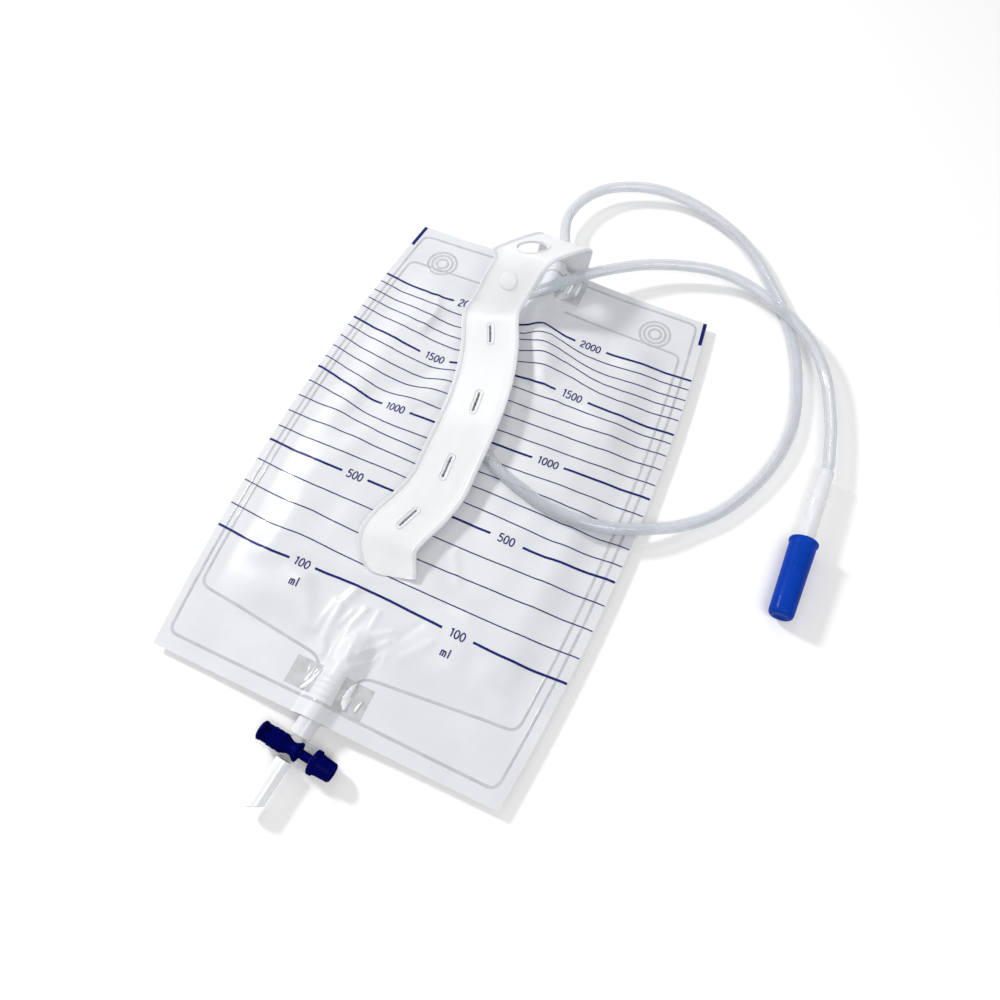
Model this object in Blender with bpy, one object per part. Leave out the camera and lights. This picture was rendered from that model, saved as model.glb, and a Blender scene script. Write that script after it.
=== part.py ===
"""Urine drainage bag, 2 litres, lying on its back with its tube looped under the hanger strap.

Two welded films, a ribbed drain port with a push-pull valve and a cut outlet tube, an inlet port
with a non-return sleeve inside the bag, a moulded hanger strap, and the inlet tube with its
connector and cap. Metres, +Z up, +X across the bag, +Y from the drain towards the inlet.
Everything is drawn about the middle of the bag and is then stood on the footprint's centre.
"""
import math

import bmesh
import bpy
import numpy as np
from mathutils import Matrix, Vector

MM = 0.001
GAP = 0.3 * MM

# Bag
BAG_WIDTH = 197.5 * MM
BAG_LENGTH = 312.5 * MM
BAG_TOP = 153.8 * MM
BAG_BOTTOM = BAG_TOP - BAG_LENGTH
BAG_MIDDLE_X = 1.4 * MM
BAG_MIDDLE_Y = BAG_TOP - BAG_LENGTH / 2
SIDE_BULGE = 9.6 * MM
FILM = 0.4 * MM
SEAM_HEIGHT = 4.3 * MM
PILLOW_TOP = 8.0 * MM
SIDE_WELD = 14 * MM
TOP_WELD = 25.5 * MM
BOTTOM_WELD = 29.5 * MM
PILLOW_RAMP = 23 * MM
SEAM_RISE_WIDTH = 42 * MM
FILM_ROWS = 27

# Ports: where each one crosses its seam, and how thick it is
INLET_X = -1.0 * MM
INLET_HEIGHT = 7.5 * MM
INLET_RADIUS = 4.5 * MM
INLET_BORE = 2.3 * MM
INLET_REACH_IN = 26.8 * MM
INLET_REACH_OUT = 9.7 * MM

DRAIN_X = -1.0 * MM
DRAIN_HEIGHT = 6.9 * MM
DRAIN_RADIUS = 5.5 * MM
DRAIN_BORE = 4.15 * MM
DRAIN_RIB = 6.0 * MM
DRAIN_RIBS = 4
DRAIN_RIB_PITCH = 3.2 * MM
DRAIN_RIB_WIDTH = 1.2 * MM
DRAIN_FROM_EDGE = 17.7 * MM
DRAIN_REACH_IN = 15 * MM
DRAIN_YAW = math.radians(-4.8)

# Non-return sleeve inside the bag
SLEEVE_WALL = 0.35 * MM
SLEEVE_LENGTH = 40 * MM
SLEEVE_HALF_WIDTH = 16 * MM
SLEEVE_HALF_HEIGHT = 0.8 * MM
SLEEVE_END_HEIGHT = 4.5 * MM

# Valve, along its own axis from the crossing with the drain
VALVE_FROM_RIBS = 33.4 * MM
BARREL_RADIUS = 6.2 * MM
BARREL_BORE = 5.2 * MM
BARREL_LEFT = 17.2 * MM
BARREL_RIGHT = 12.4 * MM
BARREL_RIM = 0.25 * MM
PLUNGER_CLEARANCE = 0.2 * MM
PLUNGER_LEFT = 18.3 * MM
DISC_THICKNESS = 1.5 * MM
PISTON_FROM = 12.2 * MM
PISTON_TO = 4.4 * MM
WAIST_RADIUS = 3.3 * MM
WAIST_HALF = 1.0 * MM
LIP_AT = 4.3 * MM
STEM_RADIUS = 2.3 * MM
STEM_FIN = 1.2 * MM
FLANGE_RADIUS = 6.4 * MM
FLANGE_THICKNESS = 2.4 * MM
KNOB_LENGTH = 9.2 * MM
KNOB_RADIUS = 5.5 * MM
KNOB_END_RADIUS = 4.8 * MM
SPIGOT_RADIUS = DRAIN_BORE - GAP
SPIGOT_BORE = 2.5 * MM
SPIGOT_LENGTH = 15 * MM
OUTLET_RADIUS = 4.2 * MM
OUTLET_BORE = 3.35 * MM
OUTLET_LENGTH = 26.8 * MM
OUTLET_CUT = math.radians(31)

# Hanger strap
STRAP_WIDTH = 35 * MM
STRAP_PLATE = 1.0 * MM
STRAP_RIM = 1.7 * MM
STRAP_RIM_WIDTH = 2.0 * MM
STRAP_TIP_CORNER = 13 * MM
STRAP_FOOT_CORNER = 6 * MM
STRAP_STEPS = 3
SLOT_LENGTH = 15 * MM
SLOT_WIDTH = 2.6 * MM
SLOT_DISTANCES = (33 * MM, 70 * MM, 114 * MM, 163 * MM)
RAIL_HOLE_LENGTH = 17 * MM
RAIL_HOLE_WIDTH = 11 * MM
RAIL_HOLE_DISTANCE = 231 * MM
RAIL_HOLE_SIDE = -5 * MM
STUD_DISTANCE = 200 * MM
STUD_RADIUS = 5.5 * MM
STUD_HEIGHT = 4.0 * MM

# Inlet tube, connector and cap
TUBE_RADIUS = 3.4 * MM
TUBE_POINT_SPACING = 13.5 * MM
CAP_X = 193.6 * MM
CAP_MOUTH_Y = 34 * MM
CAP_HEIGHT = 8.1 * MM
CAP_LENGTH = 46 * MM
CAP_RIM_RADIUS = 8.0 * MM
CAP_RADIUS = 7.3 * MM
CAP_END_RADIUS = 6.6 * MM
CAP_WALL = 1.2 * MM
CAP_DIMPLE = 3.2 * MM
CONNECTOR_REACH = 46.6 * MM
CONNECTOR_REAR_RADIUS = 4.4 * MM
CONNECTOR_MOUTH_RADIUS = 5.0 * MM
CONNECTOR_NOSE_RADIUS = 3.3 * MM
CONNECTOR_BORE = 2.2 * MM
CONNECTOR_NOSE = 41.5 * MM
SEAT_RING_DEPTH = 3.0 * MM
SEAT_RING_LENGTH = 3.5 * MM

ROUND = 24

# Main folds of the front film in millimetres and degrees: middle, direction in plan, half length,
# half width and height.
FILM_FOLDS = (
    (15, 92, -58, 24, 9, 4.2),
    (-46, 40, 50, 26, 9, -2.6),
    (-66, 12, 75, 30, 11, -2.4),
    (-62, -16, 70, 26, 11, 1.5),
    (62, 60, -20, 34, 13, 1.2),
    (70, 28, -25, 30, 14, -1.2),
)

# Strap stations in millimetres and degrees, from the loose tip to the foot round the inlet port:
# middle of the band, the direction of its width in plan, and how far its right edge is banked up.
# Round the head the width runs at a slant to the band, as the folds of the real loop do.
STRAP_STATIONS = (
    (-4.7, -75.0, 10.2, 13, 0),
    (-7.8, -67.0, 12.2, 6, 0),
    (-10.0, -59.5, 14.4, -3, 0),
    (-8.6, -50.0, 14.3, -14, 0),
    (-4.0, -36.0, 13.8, -15, 0),
    (-0.6, -20.0, 14.3, -6, 0),
    (-0.9, -2.0, 16.2, -1, 0),
    (-1.6, 18.0, 17.6, 2, 0),
    (-3.8, 40.0, 17.9, 7, 0),
    (-8.2, 61.0, 17.9, 16, 0),
    (-14.5, 79.5, 17.8, 21, 0),
    (-21.0, 93.5, 17.6, 21, 0),
    (-22.2, 99.5, 18.8, 19, 0),
    (-20.3, 107.5, 24.0, 17, 0),
    (-18.2, 116.5, 30.8, 13, 0),
    (-15.3, 125.6, 37.6, 5, 0),
    (-13.6, 130.2, 39.4, 2, 0),
    (-6.6, 142.6, 37.0, 1, 0),
    (0.4, 154.0, 33.0, 0, 0),
    (1.8, 157.3, 29.6, 0, 0),
    (1.4, 158.3, 24.0, 0, 0),
    (0.2, 158.0, 15.5, 0, 0),
    (-1.0, 157.6, 7.5, 0, 0),
    (-1.0, 157.5, 0.9, 0, 0),
)

# Route of the inlet tube in millimetres, from the inlet port to the connector. The first and
# the last two points lie straight out of what the tube meets.
TUBE_ROUTE = (
    (-1.0, 163.8, 7.5), (-1.0, 168.3, 7.5), (-7.6, 181.0, 8.7), (-11.7, 196.0, 9.6),
    (-8.3, 213.6, 10.0), (1.6, 228.5, 10.0), (18.1, 238.6, 10.0), (36.5, 243.2, 9.8),
    (59.0, 242.0, 9.0), (80.8, 235.6, 7.6), (99.2, 227.0, 6.0), (112.9, 216.4, 4.7),
    (126.2, 202.0, 3.8), (139.6, 185.6, 3.5), (153.0, 161.5, 3.5), (162.2, 137.0, 3.5),
    (168.4, 104.0, 3.5), (164.1, 70.6, 3.5), (147.6, 35.0, 3.6), (131.4, 18.2, 5.0),
    (115.6, 7.0, 8.2), (97.5, -2.0, 10.8), (79.2, -6.4, 12.0), (59.1, -5.9, 12.4),
    (40.1, -1.2, 12.4), (20.5, 6.4, 12.4), (-5.1, 26.5, 12.4), (-20.5, 59.0, 12.4),
    (-23.2, 90.0, 12.6), (-11.5, 116.8, 15.4), (4.0, 132.5, 16.9), (24.3, 155.9, 15.0),
    (57.0, 179.6, 12.5), (97.2, 190.8, 11.3), (129.9, 182.2, 11.0), (156.0, 167.2, 10.6),
    (174.5, 145.5, 9.2), (187.4, 113.5, 8.2), (193.6, 86.0, 8.1), (193.6, 80.9, 8.1),
)
FREE_CORD = ("inlet_tube", "tube_connector", "connector_cap")


def clear_scene():
    for old in list(bpy.data.objects):
        bpy.data.objects.remove(old, do_unlink=True)


def material(name, colour, roughness, metallic=0.0):
    found = bpy.data.materials.get(name)
    if found:
        return found
    made = bpy.data.materials.new(name)
    made.use_nodes = True
    shader = made.node_tree.nodes["Principled BSDF"]
    shader.inputs["Base Color"].default_value = (*colour, 1.0)
    shader.inputs["Roughness"].default_value = roughness
    shader.inputs["Metallic"].default_value = metallic
    return made


def film_plastic():
    return material("soft_film", (0.80, 0.83, 0.86), 0.35)


def clear_plastic():
    return material("clear_plastic", (0.86, 0.89, 0.93), 0.12)


def strap_plastic():
    return material("strap_plastic", (0.90, 0.92, 0.95), 0.4)


def valve_blue():
    return material("valve_blue", (0.003, 0.008, 0.10), 0.2)


def cap_blue():
    return material("cap_blue", (0.006, 0.04, 0.33), 0.28)


def add_empty(name, parent=None, location=(0, 0, 0), yaw=0.0):
    made = bpy.data.objects.new(name, None)
    bpy.context.scene.collection.objects.link(made)
    made.parent = parent
    made.location = location
    made.rotation_euler = (0, 0, yaw)
    return made


def add_object(name, bm, finish, parent, location=(0, 0, 0), smooth=35):
    mesh = bpy.data.meshes.new(name)
    bm.to_mesh(mesh)
    bm.free()
    mesh.shade_smooth()
    mesh.set_sharp_from_angle(angle=math.radians(smooth))
    made = bpy.data.objects.new(name, mesh)
    bpy.context.scene.collection.objects.link(made)
    made.data.materials.append(finish)
    made.parent = parent
    made.location = location
    return made


def hide_cutter(cutter):
    cutter.hide_render = True
    cutter.display_type = "WIRE"


def boolean(target, tool, operation):
    """Cut a shape out of the target, or join one to it, and hide the tool that did it."""
    step = target.modifiers.new(tool.name, "BOOLEAN")
    step.operation = operation
    step.object = tool
    hide_cutter(tool)


def turned(profile, segments=ROUND, axis="X", start=0.0):
    """Spin a closed profile of (distance along the axis, radius) points into a turned solid."""
    bm = bmesh.new()
    verts = [bm.verts.new((along, 0, radius)) for along, radius in profile]
    on_axis = [radius == 0 for _, radius in profile]
    edges = []
    for i, first in enumerate(verts):
        j = (i + 1) % len(verts)
        if on_axis[i] and on_axis[j]:
            continue
        edges.append(bm.edges.new((first, verts[j])))
    bmesh.ops.spin(bm, geom=verts + edges, cent=(0, 0, 0), axis=(1, 0, 0),
                   angle=2 * math.pi, steps=segments, use_merge=True)
    bmesh.ops.remove_doubles(bm, verts=bm.verts, dist=1e-6)
    bmesh.ops.recalc_face_normals(bm, faces=bm.faces)
    bm.transform(Matrix.Rotation(start, 4, "X"))
    if axis == "Y":
        bm.transform(Matrix.Rotation(math.pi / 2, 4, "Z"))
    return bm


def smooth_step(value):
    t = np.clip(value, 0.0, 1.0)
    return t * t * (3 - 2 * t)


def spline(points, steps):
    """Smooth curve through rows of numbers, with chord-length knots and a few steps a span."""
    pts = np.array(points, dtype=float)
    padded = np.vstack([2 * pts[0] - pts[1], pts, 2 * pts[-1] - pts[-2]])
    out = []
    for i in range(1, len(padded) - 2):
        p0, p1, p2, p3 = padded[i - 1:i + 3]
        t0 = np.linalg.norm((p1 - p0)[:3]) ** 0.5
        t1 = np.linalg.norm((p2 - p1)[:3]) ** 0.5
        t2 = np.linalg.norm((p3 - p2)[:3]) ** 0.5
        m1 = (p1 - p0) / t0 - (p2 - p0) / (t0 + t1) + (p2 - p1) / t1
        m2 = (p2 - p1) / t1 - (p3 - p1) / (t1 + t2) + (p3 - p2) / t2
        m1, m2 = m1 * t1, m2 * t1
        for k in range(steps):
            t = k / steps
            out.append((2 * t**3 - 3 * t**2 + 1) * p1 + (t**3 - 2 * t**2 + t) * m1
                       + (3 * t**2 - 2 * t**3) * p2 + (t**3 - t**2) * m2)
    out.append(pts[-1])
    return np.array(out)


def evenly_spaced(points, spacing):
    """The same curve with points an equal distance apart, close to the spacing asked for."""
    lengths = np.concatenate([[0], np.cumsum(np.linalg.norm(np.diff(points, axis=0), axis=1))])
    count = max(2, int(round(lengths[-1] / spacing)))
    wanted = np.linspace(0, lengths[-1], count + 1)
    return np.column_stack([np.interp(wanted, lengths, points[:, i]) for i in range(3)])


def closed_skin(rings, capped=True):
    """Join rings of points, each the same length, into one closed solid."""
    bm = bmesh.new()
    rows = [[bm.verts.new(point) for point in ring] for ring in rings]
    count = len(rows[0])
    for near, far in zip(rows, rows[1:]):
        for i in range(count):
            j = (i + 1) % count
            bm.faces.new((near[i], near[j], far[j], far[i]))
    if capped:
        bm.faces.new(rows[0][::-1])
        bm.faces.new(rows[-1])
    else:
        near, far = rows[-1], rows[0]
        for i in range(count):
            j = (i + 1) % count
            bm.faces.new((near[i], near[j], far[j], far[i]))
    bmesh.ops.recalc_face_normals(bm, faces=bm.faces)
    return bm


# Films

def port_line(y):
    """Middle of the ports across the bag: the drain leans, the inlet runs straight."""
    drain = DRAIN_X - (y - BAG_BOTTOM - DRAIN_FROM_EDGE) * math.tan(DRAIN_YAW)
    return np.where(y < 0, DRAIN_X + (drain - DRAIN_X) * smooth_step((-y - 0.06) / 0.05), INLET_X)


def wrap_radius(y):
    """Radius of the sleeve that a film leaves round each port, with its gap."""
    drain = DRAIN_RIB + 1.3 * GAP
    inlet = INLET_RADIUS + 1.3 * GAP
    return drain + (inlet - drain) * smooth_step((y - BAG_BOTTOM) / BAG_LENGTH)


def port_height(y):
    return np.where(y < 0, DRAIN_HEIGHT, INLET_HEIGHT)


def half_width(y):
    """The sides bulge as a parabola between the bag's ends."""
    along = (y - BAG_MIDDLE_Y) / (BAG_LENGTH / 2)
    return BAG_WIDTH / 2 + SIDE_BULGE * (1 - along**2)


def from_end(y):
    """Distance from the nearer end of the film."""
    return BAG_LENGTH / 2 - abs(y - BAG_MIDDLE_Y)


def film_grid():
    """Points of the film in plan: close together round the ports and towards both ends."""
    step = np.linspace(-1, 1, FILM_ROWS + 1)
    bunched = 0.65 * np.sin(math.pi / 2 * step) + 0.35 * step
    y = BAG_MIDDLE_Y + BAG_LENGTH / 2 * bunched
    near = np.array([0.27, 0.526, 1.2, 1.9])
    near = np.concatenate([-near[::-1], [0], near])
    spread = np.array([0.12, 0.28, 0.46, 0.64, 0.79, 0.88, 0.94, 1.0])
    middle = port_line(y)[:, None] + near[None, :] * wrap_radius(y)[:, None]
    right_edge = (BAG_MIDDLE_X + half_width(y))[:, None]
    left_edge = (BAG_MIDDLE_X - half_width(y))[:, None]
    right = middle[:, -1:] + (right_edge - middle[:, -1:]) * spread
    left = middle[:, :1] + (left_edge - middle[:, :1]) * spread[::-1]
    x = np.hstack([left, middle, right])
    return x, np.repeat(y[:, None], x.shape[1], axis=1)


def seam_height(x, y):
    """The weld lies low at the corners and rises to the middle of each port."""
    near_end = 1 - smooth_step((from_end(y) / BAG_LENGTH - 0.05) / 0.2)
    across = np.exp(-((x - port_line(y)) / SEAM_RISE_WIDTH) ** 2)
    return SEAM_HEIGHT + (port_height(y) - SEAM_HEIGHT) * near_end * across


def pillow(x, y):
    """How far the films stand apart, from 0 on the weld to 1 on the flat of the bag."""
    side = half_width(y) - abs(x - BAG_MIDDLE_X) - SIDE_WELD
    end = from_end(y) - np.where(y < 0, BOTTOM_WELD, TOP_WELD)
    return smooth_step(side / PILLOW_RAMP) * smooth_step(end / PILLOW_RAMP)


def fold_height(x, y):
    """Sum of the folds, each a bell across and along its own direction."""
    total = np.zeros_like(x)
    for middle_x, middle_y, turn, length, width, height in FILM_FOLDS:
        c, s = math.cos(math.radians(turn)), math.sin(math.radians(turn))
        dx, dy = x / MM - middle_x, y / MM - middle_y
        along, across = (dx * c + dy * s) / length, (dy * c - dx * s) / width
        total += height * MM * np.exp(-along**2 - across**2)
    return total


def port_bulge(x, y):
    """Half height of the tunnel that the films form round a port: a circle and its tangents."""
    radius = wrap_radius(y)
    foot = 1.9 * radius
    off = abs(x - port_line(y))
    arc = np.sqrt(np.maximum(radius**2 - off**2, 0))
    slope = (foot - off) * radius / np.sqrt(foot**2 - radius**2)
    tunnel = np.where(off < radius**2 / foot, arc, np.maximum(slope, 0))
    reach = np.where(y < 0, DRAIN_FROM_EDGE + DRAIN_REACH_IN, INLET_REACH_IN)
    past_port = (from_end(y) - reach - 6 * MM) / (20 * MM)
    return tunnel * (1 - smooth_step(past_port))


def film_heights(x, y):
    """Inner faces of the back and front films: flat on the floor, domed between the welds."""
    seam = seam_height(x, y)
    part = pillow(x, y)
    tunnel = port_bulge(x, y)
    back = np.minimum(seam + (FILM - seam) * part, port_height(y) - tunnel)
    back = np.where(tunnel > 0, back, seam + (FILM - seam) * part)
    front = seam + (PILLOW_TOP + fold_height(x, y) - seam) * part
    front = np.where(tunnel > 0, np.maximum(front, port_height(y) + tunnel), front)
    return np.maximum(back - GAP / 2, FILM), front + GAP / 2


def film_solid(x, y, lower, upper):
    """Closed sheet between two height fields on one grid."""
    rows, columns = x.shape
    points = np.concatenate([np.stack([x, y, z], axis=2).reshape(-1, 3) for z in (lower, upper)])
    bm = bmesh.new()
    verts = [bm.verts.new(point) for point in points]
    level = rows * columns

    def at(row, column, layer):
        return verts[layer * level + row * columns + column]

    for r in range(rows - 1):
        for c in range(columns - 1):
            bm.faces.new([at(r, c, 1), at(r, c + 1, 1), at(r + 1, c + 1, 1), at(r + 1, c, 1)])
            bm.faces.new([at(r, c, 0), at(r + 1, c, 0), at(r + 1, c + 1, 0), at(r, c + 1, 0)])
    rim = [(0, c) for c in range(columns)] + [(r, columns - 1) for r in range(1, rows)]
    rim += [(rows - 1, c) for c in range(columns - 2, -1, -1)]
    rim += [(r, 0) for r in range(rows - 2, 0, -1)]
    for (r1, c1), (r2, c2) in zip(rim, rim[1:] + rim[:1]):
        bm.faces.new([at(r1, c1, 0), at(r2, c2, 0), at(r2, c2, 1), at(r1, c1, 1)])
    bmesh.ops.recalc_face_normals(bm, faces=bm.faces)
    return bm


def make_films(root):
    x, y = film_grid()
    back, front = film_heights(x, y)
    add_object("bag_back_film", film_solid(x, y, back - FILM, back), film_plastic(), root)
    add_object("bag_front_film", film_solid(x, y, front, front + FILM), film_plastic(), root)


# Inlet

def make_inlet_port(root):
    """Short tube through the top seam; the inlet tube meets its outer face."""
    reach_in, reach_out = INLET_REACH_IN, INLET_REACH_OUT
    profile = [(-reach_in, INLET_BORE), (-reach_in, INLET_RADIUS - 0.5 * MM),
               (-reach_in + 0.8 * MM, INLET_RADIUS), (reach_out - 0.6 * MM, INLET_RADIUS),
               (reach_out, INLET_RADIUS - 0.6 * MM), (reach_out, INLET_BORE)]
    add_object("inlet_port", turned(profile, axis="Y"), film_plastic(), root,
               (INLET_X, BAG_TOP, INLET_HEIGHT))


def make_sleeve(root):
    """Non-return sleeve: round where it meets the port, pressed flat where it ends."""
    start = BAG_TOP - INLET_REACH_IN - GAP
    angles = np.linspace(0, 2 * math.pi, ROUND, endpoint=False)
    rings = []
    for inner in (False, True):
        stations = np.linspace(0, 1, 7)
        for along in (stations[::-1] if inner else stations):
            flat = smooth_step(along / 0.5)
            half_width = INLET_RADIUS + (SLEEVE_HALF_WIDTH - INLET_RADIUS) * smooth_step(along)
            half_height = INLET_RADIUS + (SLEEVE_HALF_HEIGHT - INLET_RADIUS) * flat
            wall = SLEEVE_WALL if inner else 0
            height = INLET_HEIGHT + (SLEEVE_END_HEIGHT - INLET_HEIGHT) * flat
            rings.append(np.column_stack([
                INLET_X + (half_width - wall) * np.cos(angles),
                np.full(ROUND, start - SLEEVE_LENGTH * along),
                height + (half_height - wall) * np.sin(angles)]))
    add_object("anti_reflux_valve", closed_skin(rings, capped=False), film_plastic(), root)


# Drain

def make_drain_port(drain):
    """Soft tube with weld ribs, from inside the bag to the valve's barrel."""
    end = -VALVE_FROM_RIBS + BARREL_RADIUS + GAP
    outer = [(DRAIN_REACH_IN, DRAIN_BORE), (DRAIN_REACH_IN, DRAIN_RADIUS - 0.4 * MM),
             (DRAIN_REACH_IN - 0.8 * MM, DRAIN_RADIUS)]
    first = DRAIN_RIB_PITCH * (DRAIN_RIBS - 1) / 2
    for i in range(DRAIN_RIBS):
        middle = first - i * DRAIN_RIB_PITCH
        half = DRAIN_RIB_WIDTH / 2
        outer += [(middle + half, DRAIN_RADIUS), (middle + half / 2, DRAIN_RIB),
                  (middle - half / 2, DRAIN_RIB), (middle - half, DRAIN_RADIUS)]
    outer += [(end, DRAIN_RADIUS), (end, DRAIN_BORE)]
    add_object("drain_port", turned(outer, axis="Y"), film_plastic(), drain)


def make_valve_body(valve):
    """Clear barrel across the drain with a spigot up into the port and one down to the outlet."""
    rim = BARREL_RADIUS + BARREL_RIM
    barrel = [(-BARREL_LEFT, 0), (-BARREL_LEFT, rim), (-BARREL_LEFT + 1 * MM, rim),
              (-BARREL_LEFT + 1.3 * MM, BARREL_RADIUS), (BARREL_RIGHT - 1.3 * MM, BARREL_RADIUS),
              (BARREL_RIGHT - 1 * MM, rim), (BARREL_RIGHT, rim), (BARREL_RIGHT, 0)]
    body = add_object("valve_body", turned(barrel), clear_plastic(), valve)
    lower_radius = OUTLET_BORE - GAP
    spigot = [(-SPIGOT_LENGTH, 0), (-SPIGOT_LENGTH, lower_radius), (0, lower_radius),
              (0, SPIGOT_RADIUS), (SPIGOT_LENGTH, SPIGOT_RADIUS), (SPIGOT_LENGTH, 0)]
    off_step = math.pi / ROUND
    spigots = turned(spigot, axis="Y", start=off_step / 2)
    boolean(body, add_object("spigots", spigots, clear_plastic(), valve), "UNION")
    past = 2 * BARREL_LEFT
    bore = [(-past, 0), (-past, BARREL_BORE), (past, BARREL_BORE), (past, 0)]
    flow = [(-past, 0), (-past, SPIGOT_BORE), (past, SPIGOT_BORE), (past, 0)]
    for name, profile, axis in (("barrel_bore", bore, "X"), ("flow_bore", flow, "Y")):
        cutter = turned(profile, axis=axis, start=off_step if axis == "X" else 0.7 * off_step)
        boolean(body, add_object(name, cutter, clear_plastic(), valve), "DIFFERENCE")


def make_plunger(valve):
    """Push-pull plunger: end disc, finned stem, piston, waist, lip, stem, flange and knob."""
    seal = BARREL_BORE - PLUNGER_CLEARANCE
    groove = seal - 0.35 * MM
    flange = BARREL_RIGHT + GAP
    knob = flange + FLANGE_THICKNESS
    tip = knob + KNOB_LENGTH
    profile = [
        (-PLUNGER_LEFT, 0), (-PLUNGER_LEFT, seal - 0.5 * MM), (-PLUNGER_LEFT + 0.4 * MM, seal),
        (-PLUNGER_LEFT + DISC_THICKNESS, seal), (-PLUNGER_LEFT + DISC_THICKNESS, STEM_RADIUS),
        (-PISTON_FROM, STEM_RADIUS), (-PISTON_FROM, seal), (-PISTON_FROM + 1.2 * MM, seal),
        (-PISTON_FROM + 1.5 * MM, groove), (-PISTON_TO - 1.5 * MM, groove),
        (-PISTON_TO - 1.2 * MM, seal), (-PISTON_TO, seal), (-WAIST_HALF, WAIST_RADIUS),
        (WAIST_HALF, WAIST_RADIUS), (LIP_AT - 0.8 * MM, seal), (LIP_AT, seal),
        (LIP_AT, STEM_RADIUS), (flange, STEM_RADIUS), (flange, FLANGE_RADIUS),
        (knob, FLANGE_RADIUS), (knob, KNOB_RADIUS), (tip - 0.6 * MM, KNOB_END_RADIUS),
        (tip, KNOB_END_RADIUS - 0.6 * MM), (tip, KNOB_END_RADIUS - 1.3 * MM),
        (tip - 0.7 * MM, KNOB_END_RADIUS - 1.8 * MM), (tip - 0.7 * MM, 0)]
    plunger = add_object("valve_plunger", turned(profile), valve_blue(), valve)
    fin_length = PLUNGER_LEFT - PISTON_FROM
    for name, size in (("fin_flat", (fin_length, 2 * groove, STEM_FIN)),
                       ("fin_upright", (fin_length, STEM_FIN, 2 * groove))):
        bm = bmesh.new()
        bmesh.ops.create_cube(bm, size=1, matrix=Matrix.Diagonal((*size, 1)))
        place = (-(PLUNGER_LEFT + PISTON_FROM) / 2 + DISC_THICKNESS / 4, 0, 0)
        boolean(plunger, add_object(name, bm, valve_blue(), valve, place), "UNION")


def make_outlet_tube(valve):
    """Soft outlet tube over the lower spigot, cut off obliquely with its longer side to the left."""
    start = -BARREL_RADIUS - GAP
    end = start - OUTLET_LENGTH
    slack = OUTLET_RADIUS * math.tan(OUTLET_CUT)
    bm = turned([(start, OUTLET_BORE), (start, OUTLET_RADIUS), (end, OUTLET_RADIUS),
                 (end, OUTLET_BORE)], axis="Y")
    for vert in bm.verts:
        if vert.co.y < (start + end) / 2:
            vert.co.y += slack + vert.co.x * math.tan(OUTLET_CUT)
    add_object("outlet_tube", bm, clear_plastic(), valve)


# Hanger strap

def strap_frames():
    """Middle, width, run and face directions of the band at each step, and distance along it."""
    path = spline(STRAP_STATIONS, STRAP_STEPS)
    middle = path[:, :3] * MM
    yaw, bank = np.radians(path[:, 3]), np.radians(path[:, 4])
    across = np.column_stack([np.cos(yaw) * np.cos(bank), np.sin(yaw) * np.cos(bank), np.sin(bank)])
    along = np.gradient(middle, axis=0)
    along /= np.linalg.norm(along, axis=1)[:, None]
    face = np.cross(across, along)
    face /= np.linalg.norm(face, axis=1)[:, None]
    steps = np.linalg.norm(np.diff(middle, axis=0), axis=1)
    return middle, across, along, face, np.concatenate([[0], np.cumsum(steps)])


def corner(distance, radius):
    """How far a rounded corner draws the edge in, at a distance from the band's end."""
    inside = np.clip(1 - distance / radius, 0, 1)
    return radius * (1 - np.sqrt(1 - inside**2)) * 0.92


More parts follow.
